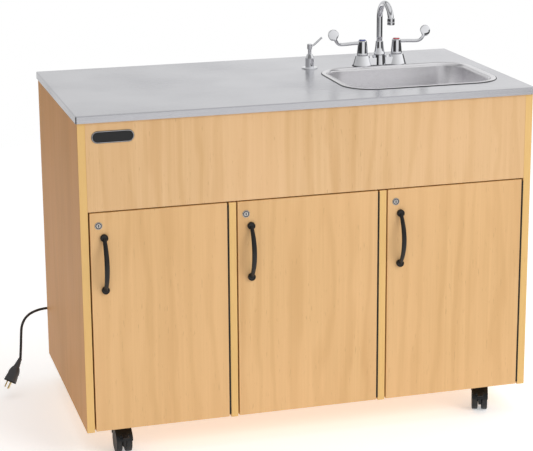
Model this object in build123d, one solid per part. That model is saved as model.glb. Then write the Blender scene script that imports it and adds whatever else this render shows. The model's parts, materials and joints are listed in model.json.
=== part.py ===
from build123d import *
import math
import os

# Portable handwash sink: a laminate cabinet on casters with a stainless worktop, a bowl,
# a gooseneck faucet with wrist blades, a soap pump and its own fresh and waste water tanks.
# Millimetres. While it is built, x runs right from the cabinet's left face, y runs back from
# its front face and z runs up from the floor; place() then puts the origin on the floor
# under the middle of the model.

# ---------------------------------------------------------------- cabinet
CABINET_WIDTH = 1219.0
CABINET_DEPTH = 630.0
CARCASS_HEIGHT = 815.0
SIDE_THICK = 20.0
DIVIDER_THICK = 19.0
FLOOR_THICK = 18.0
BACK_THICK = 12.0
DOOR_THICK = 18.0
FASCIA_HEIGHT = 228.0
LEFT_BAY = 363.5            # clear width of the narrower bay at the left
DOOR_GAP = 4.0              # reveal at each upright edge of a door
FASCIA_GAP = 3.5            # reveal between the doors and the fascia
DOOR_BOTTOM_GAP = 2.0
DOOR_BACK_GAP = 2.0         # between the doors' backs and what stands behind them
DIVIDER_RISE = 60.0         # how far the dividers reach up behind the fascia

# ---------------------------------------------------------------- worktop
SHEET = 1.2
WORKTOP_APRON = 19.0
OVERHANG_SIDE = 4.0
OVERHANG_FRONT = 7.0
OVERHANG_BACK = 4.0
WORKTOP_NOSE = 3.0
WORKTOP_CORNER = 4.0
CORE_CLEARANCE = 0.4

# ---------------------------------------------------------------- bowl
BOWL_FROM_RIGHT = 57.0      # from the bowl to the cabinet's right face
BOWL_FRONT = 112.0
BOWL_WIDTH = 400.0
BOWL_LENGTH = 288.0
BOWL_DEPTH = 145.0
BOWL_CORNER = 62.0
BOWL_DRAFT = 16.0           # how far each wall leans in from the rim to the floor
BOWL_FLOOR_ROUND = 26.0
BOWL_FLOOR_CORNER = 54.0
RIM_WIDTH = 20.0
RIM_BACK = 12.0
RIM_THICK = 2.6
RIM_ROUND = 2.1
CUTOUT_CLEARANCE = 3.0
CORE_SETBACK = 2.0          # the core's holes beyond the skin's
DRAIN_RADIUS = 30.0
STRAINER_FLANGE = 42.0
STRAINER_DEPTH = 42.0
STRAINER_WALL = 2.0
STRAINER_CLEARANCE = 1.0    # between the cup and the hole, and the basket and the cup
STRAINER_FLANGE_THICK = 1.5
STRAINER_NUT_RADIUS = 38.0
STRAINER_NUT_HEIGHT = 8.0
BASKET_DROP = 9.0           # the basket's plate below the bowl's floor
BASKET_THICK = 2.0
BASKET_HOLE = 2.0
BASKET_RINGS = [(8.0, 6), (16.0, 12), (22.0, 16)]
BASKET_STEM = 3.0
BASKET_KNOB = 5.0
TAIL_RADIUS = 19.0
TAIL_LENGTH = 70.0

# ---------------------------------------------------------------- faucet
FAUCET_OFF_MIDDLE = 16.0    # left of the bowl's middle
FAUCET_BEHIND_BOWL = 42.0
FAUCET_SPREAD = 102.0       # from one handle's axis to the other's
FAUCET_BASE_HEIGHT = 27.0
FAUCET_TOWER = 28.0
FAUCET_MIDDLE_TOWER = 23.0
FAUCET_TOWER_TOP = 20.0
FAUCET_BRIDGE_DEPTH = 36.0
FAUCET_BRIDGE_HEIGHT = 20.0
FAUCET_BRIDGE_CORNER = 4.0
FAUCET_BRIDGE_TAPER = 6.0
FAUCET_GASKET = 2.0
SHANK_RADIUS = 10.0
SHANK_LENGTH = 62.0
SHANK_NUT_RADIUS = 19.0
SHANK_NUT_HEIGHT = 8.0
HUB_RADIUS = 16.5
HUB_TOP_RADIUS = 13.0
HUB_HEIGHT = 42.0
HUB_ROUND = 2.0
STEM_RADIUS = 6.0
STEM_LENGTH = 14.0
RUNNING_CLEARANCE = 0.05
LIFT = 0.3                  # air under a piece that turns on a flat face
BLADE_REACH = 102.0
BLADE_RISE = 26.0
BLADE_BAR = 4.5
BLADE_BELOW_TOP = 7.0       # the bar's middle below the hub's top
BLADE_SAG = 2.0
BLADE_BENDS = [16.0, 6.0]
PADDLE_RADIUS = 16.0
PADDLE_THICK = 6.0
PADDLE_ROUND = 2.4
SPOUT_CONE_RADIUS = 16.5
SPOUT_CONE_TOP = 10.5
SPOUT_CONE_HEIGHT = 38.0
SPOUT_TUBE_RADIUS = 8.5
SPOUT_WALL = 1.5
SPOUT_RISE = 188.0          # top of the gooseneck above the worktop
SPOUT_BEND = 46.0
SPOUT_OUTLET_RISE = 126.0
AERATOR_RADIUS = 10.5
AERATOR_LENGTH = 20.0

# ---------------------------------------------------------------- soap pump
SOAP_LEFT_OF_BOWL = 22.0
SOAP_BEHIND_BOWL = 46.0
SOAP_FLANGE_RADIUS = 23.0
SOAP_FLANGE_THICK = 3.0
SOAP_FLANGE_ROUND = 2.0
SOAP_BODY_RADIUS = 12.5
SOAP_BODY_HEIGHT = 40.0
SOAP_SHOULDER = 11.0
SOAP_MOUTH_WALL = 2.5
SOAP_THREAD_WALL = 1.0      # how much slimmer the thread is than the body
SOAP_THREAD_BELOW = 22.0    # below the worktop's apron
SOAP_NECK_RADIUS = 5.0
SOAP_HEAD_RADIUS = 7.0
SOAP_HEAD_LENGTH = 16.0
SOAP_HEAD_ROUND = 2.5
SOAP_HEAD_RISE = 69.0
SOAP_TRAVEL = 10.0
SOAP_NOZZLE_REACH = 36.0
SOAP_NOZZLE_RISE = 24.0
SOAP_NOZZLE_RADIUS = 2.8
SOAP_NOZZLE_BELOW_TOP = 8.0
SOAP_NOZZLE_BEND = 14.0
SOAP_BOTTLE_RADIUS = 28.0
SOAP_BOTTLE_HEIGHT = 140.0
SOAP_BOTTLE_WALL = 2.5
SOAP_BOTTLE_ROUND = 6.0
SOAP_BOTTLE_TOP = 5.0
SOAP_BOTTLE_FLOOR = 3.0

# ---------------------------------------------------------------- doors and their fittings
PULL_SPACING = 137.0
PULL_FROM_EDGE = 35.0
PULL_TOP_FROM_DOOR_TOP = 65.0
PULL_REACH = 36.0
PULL_FOOT_RADIUS = 10.0
PULL_FOOT_HEIGHT = 7.0
PULL_FOOT_ROUND = 2.5
PULL_END_WIDTH = 9.6        # of the bowed grip at its feet
PULL_MIDDLE_WIDTH = 13.0
PULL_GRIP_THICK = 8.0
LOCK_FROM_EDGE = 22.0
LOCK_FROM_TOP = 33.0
LOCK_FACE_RADIUS = 9.8
LOCK_FACE_THICK = 1.6
LOCK_BARREL_RADIUS = 8.0
LOCK_BEHIND = 5.0
LOCK_NUT_RADIUS = 12.0
LOCK_NUT_THICK = 2.6
LOCK_PLUG_RADIUS = 5.8
KEY_SLOT_WIDTH = 1.2
KEY_SLOT_HEIGHT = 7.0
KEY_SLOT_DEPTH = 3.0
CAM_LENGTH = 46.0
CAM_WIDTH = 12.0
CAM_THICK = 2.0
HINGE_LEAF = 0.8
HINGE_LEAF_DEPTH = 15.0
HINGE_KNUCKLE = 1.7
HINGE_PIN = 0.8
HINGE_KNUCKLES = 9
HINGE_KNUCKLE_GAP = 0.4
HINGE_END_MARGIN = 6.0

# ---------------------------------------------------------------- casters
CASTER_INSET_SIDE = 100.0
CASTER_INSET_FRONT = 75.0
CASTER_INSET_BACK = 75.0
CASTER_HEADROOM = 16.5      # from the top of the tread to the cabinet
CASTER_PLATE = 62.0
CASTER_PLATE_CORNER = 6.0
CASTER_BOLT_INSET = 8.0
CASTER_BOLT_RADIUS = 5.0
CASTER_BOLT_HEAD = 3.0
CASTER_PLATE_THICK = 3.0
KINGPIN_RADIUS = 6.0
KINGPIN_LENGTH = 11.0
CASTER_WHEEL_RADIUS = 31.75
CASTER_WHEEL_THICK = 16.0
CASTER_WHEEL_ROUND = 2.5
CASTER_WEB = 8.0
CASTER_WHEEL_GAP = 1.0      # each side of the web
CASTER_TRAIL = 25.0
CASTER_AXLE_RADIUS = 4.0
HOOD_CLEARANCE = 1.6
HOOD_THICK = 2.8
HOOD_SIDE = 1.0             # the hood beyond the wheels' outer faces
HOOD_EDGE_RISE = 8.0        # the hood's lower edge above the axle
HOOD_BOSS_RADIUS = 17.0
BRAKE_PIN_RADIUS = 2.0
BRAKE_BARREL_RADIUS = 4.0
BRAKE_WIDTH = 16.0
BRAKE_LENGTH = 24.0
BRAKE_THICK = 3.0
BRAKE_EAR_THICK = 3.0
BRAKE_ANGLE = 35.0          # of the lever's pin above the axle's level
BRAKE_OFF_HOOD = 1.0
FRONT_LEFT_YAW = -90.0      # the way each caster trails, counter-clockwise from +X
FRONT_RIGHT_YAW = -111.0
BACK_LEFT_YAW = -75.0
BACK_RIGHT_YAW = -110.0

# ---------------------------------------------------------------- water side
TANK_WALL = 3.0
WASTE_WIDTH = 300.0
WASTE_DEPTH = 340.0
WASTE_UNDER_TAIL = 161.6    # from the tank's top up to the end of the bowl's tail
FRESH_WIDTH = 280.0
FRESH_DEPTH = 320.0
FRESH_UNDER_HEATER = 70.0
FRESH_AHEAD_OF_WASTE = 20.0
WASTE_FROM_DIVIDER = 31.75
WASTE_BEHIND_MIDDLE = 60.0  # of the bowl
TANK_ROUND = 22.0
NECK_RADIUS = 34.0
NECK_HEIGHT = 18.0
CAP_RADIUS = 40.0
CAP_HEIGHT = 22.0
CAP_CLEARANCE = 0.4
CAP_LIFT = 1.0              # from the tank's shoulder to the cap's skirt
CAP_ROUND = 3.0
CAP_GRIPS = 24
CAP_GRIP_RADIUS = 2.0
CAP_GRIP_STOP = 4.0         # from a groove's end to the cap's top
DRAIN_HOSE_RADIUS = 16.0
DRAIN_HOSE_WALL = 2.0
DRAIN_HOSE_DROP = 45.0      # straight down, then the same again across to the tank
DRAIN_HOSE_BEND = 30.0
DRAIN_HOSE_DIP = 30.0       # into the waste tank
DRAIN_CUFF_LENGTH = 30.0
DRAIN_CUFF_LIP = 3.0
HOSE_RADIUS = 6.0
HOSE_BEND = 34.0
HOSE_TIGHT_BEND = 10.0
HOSE_SUCTION_BEND = 20.0
HOSE_CROSS_BEND = 28.0
HOSE_RISE_BEND = 18.0
HOSE_COLD_DROP = 50.0       # straight run below the cold shank
HOSE_HOT_DROP = 75.0
HOSE_OVER_HEATER = 60.0
SUCTION_ABOVE_FLOOR = 60.0  # inside the fresh tank
HEATER_RADIUS = 85.0
HEATER_HEIGHT = 250.0
HEATER_WALL = 10.0          # jacket and insulation together
HEATER_ROUND = 10.0
HEATER_BELOW_TOP = 97.0     # from the cabinet's top
HEATER_FROM_DIVIDER = 30.0
HEATER_OFF_BACK = 14.0
HEATER_OUTLET_OFFSET = 40.0
STRAP_WIDTH = 80.0
STRAP_HEIGHT = 40.0
STRAPS_ABOVE_BASE = [40.0, 170.0]
PUMP_LENGTH = 150.0
PUMP_RADIUS = 33.0
PUMP_HEAD = 38.0            # half width of the pump's square head
PUMP_HEAD_BELOW = 36.0
PUMP_HEAD_ABOVE = 4.0
PUMP_HEAD_ROUND = 4.0
PUMP_ROUND = 5.0
PUMP_FROM_DIVIDER = 60.0
PUMP_OFF_BACK = 90.0
PUMP_OVER_TANK = 60.0
PUMP_PORT_DROP = 16.0
PUMP_PLATE_HALF = 35.0
PUMP_PLATE_THICK = 6.0
PUMP_PLATE_BELOW = 40.0
PUMP_ARM_HALF = 20.0
PUMP_ARM_HEIGHT = 20.0
PUMP_ARMS_ABOVE_BASE = [10.0, 100.0]
SHELF_THICK = 16.0
SHELF_RISE = 280.0
SHELF_CLEARANCE = 1.0
SHELF_PIN_RADIUS = 3.0
SHELF_PIN_LENGTH = 4.0
SHELF_PIN_INSET = 60.0

# ---------------------------------------------------------------- nameplate
PLATE_WIDTH = 108.0
PLATE_HEIGHT = 31.0
PLATE_THICK = 1.6
PLATE_LEFT = 35.0
PLATE_BELOW_TOP = 38.0

# ---------------------------------------------------------------- power cord
CORD_RADIUS = 3.75
GLAND_X = 190.0
GLAND_Z = 330.0
GLAND_RADIUS = 9.0
GLAND_LENGTH = 26.0
GLAND_FLANGE = 14.0
GLAND_FLANGE_THICK = 4.0
GLAND_TIP_WALL = 1.2
COIL_X = 66.0
COIL_Z = 164.0
COIL_RADIUS = 43.0          # at the middle of the coil's turns
COIL_WIDE = 15.0            # half width of the bundle, in the plane of the turns
COIL_DEEP = 12.0            # half width of the bundle, across the turns
COIL_OFF_BACK = 24.0        # from the back panel to the middle of the bundle
HOOK_PLATE = 34.0
HOOK_THICK = 3.0
HOOK_REACH = 44.0
HOOK_PEG_HALF = 9.0
HOOK_PEG_THICK = 5.0
HOOK_PEG_BELOW = 7.0        # under the coil's inner turns
HOOK_TIP_HEIGHT = 22.0
HOOK_CORNER = 5.0
PLUG_WIDTH = 36.0
PLUG_THICK = 25.0
PLUG_CORNER = 10.0
PLUG_BODY = 46.0
PLUG_NECK = 27.0
PLUG_NECK_WALL = 1.5
PLUG_NECK_END = 9.0
PLUG_SHOULDER = (21.6, 17.5, 7.0)       # width, thickness and corner behind the grip
PLUG_LAP = 1.0
GROUND_PIN_LENGTH = 20.0
GROUND_PIN_RADIUS = 2.4
GROUND_PIN_OFFSET = -7.0
BLADE_PRONG_LENGTH = 18.0
BLADE_PRONG_THICK = 1.6
BLADE_PRONG_WIDTH = 6.4
BLADE_PRONG_SPREAD = 12.7
BLADE_PRONG_OFFSET = 3.0

# ---------------------------------------------------------------- derived levels and places
CASTER_HEIGHT = 2 * CASTER_WHEEL_RADIUS + CASTER_HEADROOM
CARCASS_BOTTOM = CASTER_HEIGHT
CARCASS_TOP = CARCASS_BOTTOM + CARCASS_HEIGHT
WORKTOP_TOP = CARCASS_TOP + WORKTOP_APRON
FASCIA_BOTTOM = CARCASS_TOP - FASCIA_HEIGHT
DOOR_TOP = FASCIA_BOTTOM - FASCIA_GAP
DOOR_BOTTOM = CARCASS_BOTTOM + DOOR_BOTTOM_GAP
DOOR_HEIGHT = DOOR_TOP - DOOR_BOTTOM
INNER_FRONT = DOOR_THICK + DOOR_BACK_GAP
INNER_BACK = CABINET_DEPTH - BACK_THICK
FLOOR_TOP = CARCASS_BOTTOM + FLOOR_THICK
WIDE_BAY = (CABINET_WIDTH - 2 * SIDE_THICK - 2 * DIVIDER_THICK - LEFT_BAY) / 2
BAY_LEFT = [SIDE_THICK]
BAY_LEFT.append(BAY_LEFT[0] + LEFT_BAY + DIVIDER_THICK)
BAY_LEFT.append(BAY_LEFT[1] + WIDE_BAY + DIVIDER_THICK)
BAY_WIDTH = [LEFT_BAY, WIDE_BAY, WIDE_BAY]
BAY_NAMES = ["left", "middle", "right"]
BOWL_LEFT = CABINET_WIDTH - BOWL_FROM_RIGHT - BOWL_WIDTH
BOWL_BACK = BOWL_FRONT + BOWL_LENGTH
BOWL_X = BOWL_LEFT + BOWL_WIDTH / 2
BOWL_Y = BOWL_FRONT + BOWL_LENGTH / 2
BOWL_FLOOR = WORKTOP_TOP + RIM_THICK - BOWL_DEPTH
TAIL_END = BOWL_FLOOR - STRAINER_DEPTH - TAIL_LENGTH
WASTE_HEIGHT = TAIL_END - WASTE_UNDER_TAIL - FLOOR_TOP
WASTE_X = BAY_LEFT[2] + WASTE_FROM_DIVIDER + WASTE_WIDTH / 2
WASTE_Y = BOWL_Y + WASTE_BEHIND_MIDDLE
HEATER_BASE = CARCASS_TOP - HEATER_BELOW_TOP - HEATER_HEIGHT
HEATER_TOP = HEATER_BASE + HEATER_HEIGHT
FRESH_HEIGHT = HEATER_BASE - FRESH_UNDER_HEATER - FLOOR_TOP
FRESH_X = BAY_LEFT[1] + BAY_WIDTH[1] / 2
FRESH_Y = WASTE_Y - FRESH_AHEAD_OF_WASTE
FAUCET_X = BOWL_X - FAUCET_OFF_MIDDLE
FAUCET_Y = BOWL_BACK + FAUCET_BEHIND_BOWL
SOAP_X = BOWL_LEFT - SOAP_LEFT_OF_BOWL
SOAP_Y = BOWL_BACK + SOAP_BEHIND_BOWL
FAUCET_SEAT = WORKTOP_TOP + FAUCET_GASKET
TOWER_TOP = FAUCET_SEAT + FAUCET_BASE_HEIGHT
CORD_PLANE = CABINET_DEPTH + COIL_OFF_BACK
COIL_TOP = COIL_Z + COIL_RADIUS
GLAND_TIP = CABINET_DEPTH + GLAND_LENGTH
PLUG_BACK = (-94.0, 549.0, 103.0)
PLUG_AIM = (-0.49, -0.27, -0.83)
PLUG_ACROSS = (0.75, -0.62, -0.25)
LEAD_ROUTE = [
    (GLAND_X, GLAND_TIP, GLAND_Z),
    (GLAND_X, GLAND_TIP + 30, GLAND_Z - 1),
    (GLAND_X - 1, GLAND_TIP + 54, GLAND_Z - 19),
    (GLAND_X - 6, GLAND_TIP + 62, GLAND_Z - 48),
    (GLAND_X - 20, GLAND_TIP + 57, GLAND_Z - 76),
    (GLAND_X - 43, GLAND_TIP + 42, GLAND_Z - 96),
    (COIL_X + 54, CORD_PLANE + 26, COIL_TOP + 17),
    (COIL_X + 28, CORD_PLANE + 10, COIL_TOP + 8),
    (COIL_X + 4, CORD_PLANE + 2, COIL_TOP + 1),
]
TAIL_ROUTE = [
    (COIL_X - 6, CORD_PLANE, COIL_TOP),
    (COIL_X - 46, CORD_PLANE + 1, COIL_TOP + 4),
    (COIL_X - 88, CORD_PLANE - 2, COIL_TOP + 3),
    (-58, 637, 201),
    (-79, 607, 184),
    (-85, 583, 159),
    (-89, 565, 132),
    PLUG_BACK,
]
MODEL_MIDDLE = Vector(CABINET_WIDTH / 2, (CABINET_DEPTH + HOOK_REACH - PULL_REACH) / 2, 0)

os.makedirs("parts", exist_ok=True)


# ---------------------------------------------------------------- helpers
def place(name, *solids):
    """Writes one named piece, moved so that the origin is on the floor at the model's middle."""
    moved = [Pos(-MODEL_MIDDLE) * solid for solid in solids]
    shape = moved[0] if len(moved) == 1 else Compound(children=moved)
    shape.label = name
    export_step(shape, f"parts/{name}.step")


def slab(x0, x1, y0, y1, z0, z1):
    """A box between two corners."""
    corner = (Align.MIN, Align.MIN, Align.MIN)
    return Pos(x0, y0, z0) * Box(x1 - x0, y1 - y0, z1 - z0, align=corner)


def rod(x, y, z, radius, length, axis="Z"):
    """A cylinder that starts at a point and runs along +axis."""
    turn = {"X": Rot(0, 90, 0), "Y": Rot(-90, 0, 0), "Z": Rot(0, 0, 0)}[axis]
    upright = (Align.CENTER, Align.CENTER, Align.MIN)
    return Pos(x, y, z) * turn * Cylinder(radius, length, align=upright)


def cone(x, y, z, bottom, top, height):
    upright = (Align.CENTER, Align.CENTER, Align.MIN)
    return Pos(x, y, z) * Cone(bottom, top, height, align=upright)


def pipe(points, radius, bends, wall=None):
    """A round tube along straight runs joined by tangent arcs, solid unless it has a wall."""
    line = FilletPolyline(*points, radius=bends)
    section = Plane(origin=line @ 0, z_dir=line % 0)
    tube = sweep(section * Circle(radius), path=line)
    if wall:
        tube -= sweep(section * Circle(radius - wall), path=line)
    return tube


# ---------------------------------------------------------------- cabinet
def dividers():
    """Two uprights, stepped so that they show between the doors and pass behind the fascia."""
    made = []
    for bay in (1, 2):
        x1 = BAY_LEFT[bay]
        x0 = x1 - DIVIDER_THICK
        top = FASCIA_BOTTOM + DIVIDER_RISE
        upright = slab(x0, x1, INNER_FRONT, INNER_BACK, FLOOR_TOP, top)
        upright += slab(x0, x1, DOOR_THICK, INNER_FRONT, CARCASS_BOTTOM, top)
        upright += slab(x0, x1, 0, DOOR_THICK, CARCASS_BOTTOM, DOOR_TOP)
        made.append(upright)
    return made


def cabinet():
    """The carcass. The fascia is as thick as the doors below it."""
    height = (CARCASS_BOTTOM, CARCASS_TOP)
    right = CABINET_WIDTH - SIDE_THICK
    place("side_panel_left", slab(0, SIDE_THICK, 0, CABINET_DEPTH, *height))
    place("side_panel_right", slab(right, CABINET_WIDTH, 0, CABINET_DEPTH, *height))
    floor = slab(SIDE_THICK, right, INNER_FRONT, INNER_BACK, CARCASS_BOTTOM, FLOOR_TOP)
    place("floor_panel", floor)
    back = slab(SIDE_THICK, right, INNER_BACK, CABINET_DEPTH, *height)
    back -= rod(GLAND_X, INNER_BACK, GLAND_Z, GLAND_RADIUS, BACK_THICK, "Y")
    place("back_panel", back)
    place("fascia", slab(SIDE_THICK, right, 0, DOOR_THICK, FASCIA_BOTTOM, CARCASS_TOP))
    place("dividers", *dividers())
    shelf_z = FLOOR_TOP + SHELF_RISE
    shelf = slab(
        SIDE_THICK + SHELF_CLEARANCE,
        SIDE_THICK + LEFT_BAY - SHELF_CLEARANCE,
        INNER_FRONT + LOCK_BEHIND + CAM_THICK + 2 * LOCK_NUT_THICK,
        INNER_BACK - SHELF_CLEARANCE,
        shelf_z,
        shelf_z + SHELF_THICK,
    )
    pins = []
    for x in (SIDE_THICK, SIDE_THICK + LEFT_BAY - SHELF_PIN_LENGTH):
        for y in (INNER_FRONT + SHELF_PIN_INSET, INNER_BACK - SHELF_PIN_INSET):
            pins.append(rod(x, y, shelf_z - SHELF_PIN_RADIUS, SHELF_PIN_RADIUS, SHELF_PIN_LENGTH, "X"))
    place("storage_shelf", shelf, *pins)
    outline = SlotOverall(PLATE_WIDTH, PLATE_HEIGHT)
    badge = extrude(Plane.XZ * outline, PLATE_THICK)
    badge = fillet(badge.edges().group_by(Axis.Y)[0], PLATE_THICK / 2)
    badge_z = CARCASS_TOP - PLATE_BELOW_TOP
    place("nameplate", Pos(PLATE_LEFT + PLATE_WIDTH / 2, 0, badge_z) * badge)


# ---------------------------------------------------------------- worktop and bowl
def folded_pan(x0, x1, y0, y1, z0, z1, corner, nose):
    """A block with rounded upright corners and a rounded top edge."""
    block = slab(x0, x1, y0, y1, z0, z1)
    block = fillet(block.edges().filter_by(Axis.Z), corner)
    return fillet(block.edges().group_by(Axis.Z)[-1], nose)


def bowl_block(grow, top, bottom):
    """The bowl's hollow, or its outside when grow is the sheet's thickness. It narrows downward."""
    width, length = BOWL_WIDTH + 2 * grow, BOWL_LENGTH + 2 * grow
    mouth = Pos(BOWL_X, BOWL_Y, top) * RectangleRounded(width, length, BOWL_CORNER + grow)
    lean = 2 * BOWL_DRAFT
    foot = RectangleRounded(width - lean, length - lean, BOWL_FLOOR_CORNER + grow)
    block = loft([Pos(BOWL_X, BOWL_Y, bottom) * foot, mouth])
    return fillet(block.edges().group_by(Axis.Z)[0], BOWL_FLOOR_ROUND + grow)


def deck_holes(z0, z1, extra):
    """Everything that passes down through the worktop."""
    grow = SHEET + CUTOUT_CLEARANCE + extra
    width, length = BOWL_WIDTH + 2 * grow, BOWL_LENGTH + 2 * grow
    opening = Pos(BOWL_X, BOWL_Y, z0) * RectangleRounded(width, length, BOWL_CORNER + grow)
    holes = [extrude(opening, z1 - z0)]
    for side in (-1, 1):
        x = FAUCET_X + side * FAUCET_SPREAD / 2
        holes.append(rod(x, FAUCET_Y, z0, SHANK_RADIUS + CUTOUT_CLEARANCE + extra, z1 - z0))
    holes.append(rod(SOAP_X, SOAP_Y, z0, SOAP_BODY_RADIUS + extra, z1 - z0))
    return holes


def worktop():
    left, right = -OVERHANG_SIDE, CABINET_WIDTH + OVERHANG_SIDE
    front, back = -OVERHANG_FRONT, CABINET_DEPTH + OVERHANG_BACK
    skin = folded_pan(
        left, right, front, back, CARCASS_TOP, WORKTOP_TOP, WORKTOP_CORNER, WORKTOP_NOSE
    )
    skin -= folded_pan(
        left + SHEET, right - SHEET, front + SHEET, back - SHEET,
        CARCASS_TOP, WORKTOP_TOP - SHEET, WORKTOP_CORNER - SHEET, WORKTOP_NOSE - SHEET,
    )
    for hole in deck_holes(CARCASS_TOP, WORKTOP_TOP, 0):
        skin -= hole
    place("worktop", skin)
    edge = SHEET + CORE_CLEARANCE
    core = folded_pan(
        left + edge, right - edge, front + edge, back - edge,
        CARCASS_TOP, WORKTOP_TOP - SHEET, WORKTOP_CORNER - SHEET, WORKTOP_NOSE,
    )
    for hole in deck_holes(CARCASS_TOP, WORKTOP_TOP, CORE_SETBACK):
        core -= hole
    place("worktop_core", core)


def basin():
    top = WORKTOP_TOP + RIM_THICK
    rim_length = BOWL_LENGTH + RIM_WIDTH + RIM_BACK
    rim_y = BOWL_FRONT - RIM_WIDTH + rim_length / 2
    rim = RectangleRounded(BOWL_WIDTH + 2 * RIM_WIDTH, rim_length, BOWL_CORNER + RIM_WIDTH)
    flange = extrude(Pos(BOWL_X, rim_y, WORKTOP_TOP) * rim, RIM_THICK)
    flange = fillet(flange.edges().group_by(Axis.Z)[-1], RIM_ROUND)
    bowl = flange + bowl_block(SHEET, top - RIM_THICK / 2, BOWL_FLOOR - SHEET)
    bowl -= bowl_block(0, top, BOWL_FLOOR)
    bowl -= rod(BOWL_X, BOWL_Y, BOWL_FLOOR - 2 * SHEET, DRAIN_RADIUS, 4 * SHEET)
    place("basin", bowl)


def drain():
    """The strainer in the bowl's floor, its basket, its nut and the tail below."""
    x, y = BOWL_X, BOWL_Y
    wall = STRAINER_WALL
    cup_radius = DRAIN_RADIUS - STRAINER_CLEARANCE
    cup_bottom = BOWL_FLOOR - STRAINER_DEPTH
    cup = rod(x, y, BOWL_FLOOR, STRAINER_FLANGE, STRAINER_FLANGE_THICK)
    cup = fillet(cup.edges().group_by(Axis.Z)[-1], STRAINER_FLANGE_THICK * 2 / 3)
    cup += rod(x, y, cup_bottom, cup_radius, STRAINER_DEPTH + STRAINER_FLANGE_THICK / 2)
    cup += rod(x, y, TAIL_END, TAIL_RADIUS, TAIL_LENGTH + wall)
    cup -= rod(x, y, cup_bottom + wall, cup_radius - wall, STRAINER_DEPTH + STRAINER_FLANGE_THICK)
    cup -= rod(x, y, TAIL_END, TAIL_RADIUS - wall, TAIL_LENGTH + 2 * wall)
    plate_z = BOWL_FLOOR - BASKET_DROP
    basket = rod(x, y, plate_z, cup_radius - wall - STRAINER_CLEARANCE, BASKET_THICK)
    for ring, count in BASKET_RINGS:
        for step in range(count):
            turn = math.radians(360 * step / count)
            hx, hy = x + ring * math.cos(turn), y + ring * math.sin(turn)
            basket -= rod(hx, hy, plate_z, BASKET_HOLE, BASKET_THICK)
    basket += rod(x, y, plate_z, BASKET_STEM, BASKET_DROP + BASKET_KNOB)
    basket += Pos(x, y, BOWL_FLOOR + BASKET_KNOB) * Sphere(BASKET_KNOB)
    nut_z = BOWL_FLOOR - SHEET - STRAINER_NUT_HEIGHT
    nut = rod(x, y, nut_z, STRAINER_NUT_RADIUS, STRAINER_NUT_HEIGHT)
    nut -= rod(x, y, nut_z, cup_radius, STRAINER_NUT_HEIGHT)
    place("drain_strainer", cup, basket, nut)


# ---------------------------------------------------------------- faucet and soap pump
def stem(x):
    """The part of a handle or of the spout that turns in the base."""
    return rod(x, FAUCET_Y, TOWER_TOP - STEM_LENGTH, STEM_RADIUS, STEM_LENGTH + 2 * LIFT)


def faucet_base():
    hubs = [FAUCET_X - FAUCET_SPREAD / 2, FAUCET_X + FAUCET_SPREAD / 2]
    bridge = RectangleRounded(FAUCET_SPREAD, FAUCET_BRIDGE_DEPTH, FAUCET_BRIDGE_CORNER)
    base = Pos(FAUCET_X, FAUCET_Y, FAUCET_SEAT) * extrude(
        bridge, FAUCET_BRIDGE_HEIGHT, taper=FAUCET_BRIDGE_TAPER
    )
    towers = [(FAUCET_X, FAUCET_MIDDLE_TOWER)] + [(x, FAUCET_TOWER) for x in hubs]
    for x, radius in towers:
        base += cone(x, FAUCET_Y, FAUCET_SEAT, radius, FAUCET_TOWER_TOP, FAUCET_BASE_HEIGHT)
    for x in hubs + [FAUCET_X]:
        bore = STEM_RADIUS + RUNNING_CLEARANCE
        base -= rod(x, FAUCET_Y, TOWER_TOP - STEM_LENGTH - 1, bore, STEM_LENGTH + 1)
    place("faucet_base", base)
    seat = SlotCenterToCenter(FAUCET_SPREAD, 2 * FAUCET_TOWER + 1)
    gasket = extrude(Pos(FAUCET_X, FAUCET_Y, WORKTOP_TOP) * seat, FAUCET_GASKET)
    clamps = []
    nut_z = CARCASS_TOP - SHANK_NUT_HEIGHT
    for x in hubs:
        gasket -= rod(x, FAUCET_Y, WORKTOP_TOP, SHANK_RADIUS, FAUCET_GASKET)
        clamps.append(rod(x, FAUCET_Y, FAUCET_SEAT - SHANK_LENGTH, SHANK_RADIUS, SHANK_LENGTH))
        nut = rod(x, FAUCET_Y, nut_z, SHANK_NUT_RADIUS, SHANK_NUT_HEIGHT)
        clamps.append(nut - rod(x, FAUCET_Y, nut_z, SHANK_RADIUS, SHANK_NUT_HEIGHT))
    place("faucet_mounting", gasket, *clamps)


def spout():
    """The gooseneck. Its tube starts inside the cone, and its outlet is bored up from below."""
    x, y = FAUCET_X, FAUCET_Y
    cone_z = TOWER_TOP + LIFT
    tube_z = cone_z + SPOUT_CONE_HEIGHT / 2
    bend_z = WORKTOP_TOP + SPOUT_RISE - SPOUT_TUBE_RADIUS - SPOUT_BEND
    outlet_z = WORKTOP_TOP + SPOUT_OUTLET_RISE
    tip_y = y - 2 * SPOUT_BEND
    with BuildLine() as goose:
        Line((x, y, tube_z), (x, y, bend_z))
        ThreePointArc((x, y, bend_z), (x, y - SPOUT_BEND, bend_z + SPOUT_BEND), (x, tip_y, bend_z))
        Line((x, tip_y, bend_z), (x, tip_y, outlet_z))
    start = Plane(origin=(x, y, tube_z), z_dir=(0, 0, 1))
    tube = sweep(start * Circle(SPOUT_TUBE_RADIUS), path=goose.line)
    tube += cone(x, y, cone_z, SPOUT_CONE_RADIUS, SPOUT_CONE_TOP, SPOUT_CONE_HEIGHT)
    tube += stem(x)
    tube += rod(x, tip_y, outlet_z, AERATOR_RADIUS, AERATOR_LENGTH)
    tube -= rod(x, tip_y, outlet_z, SPOUT_TUBE_RADIUS - SPOUT_WALL, AERATOR_LENGTH)
    place("spout", tube)


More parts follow.
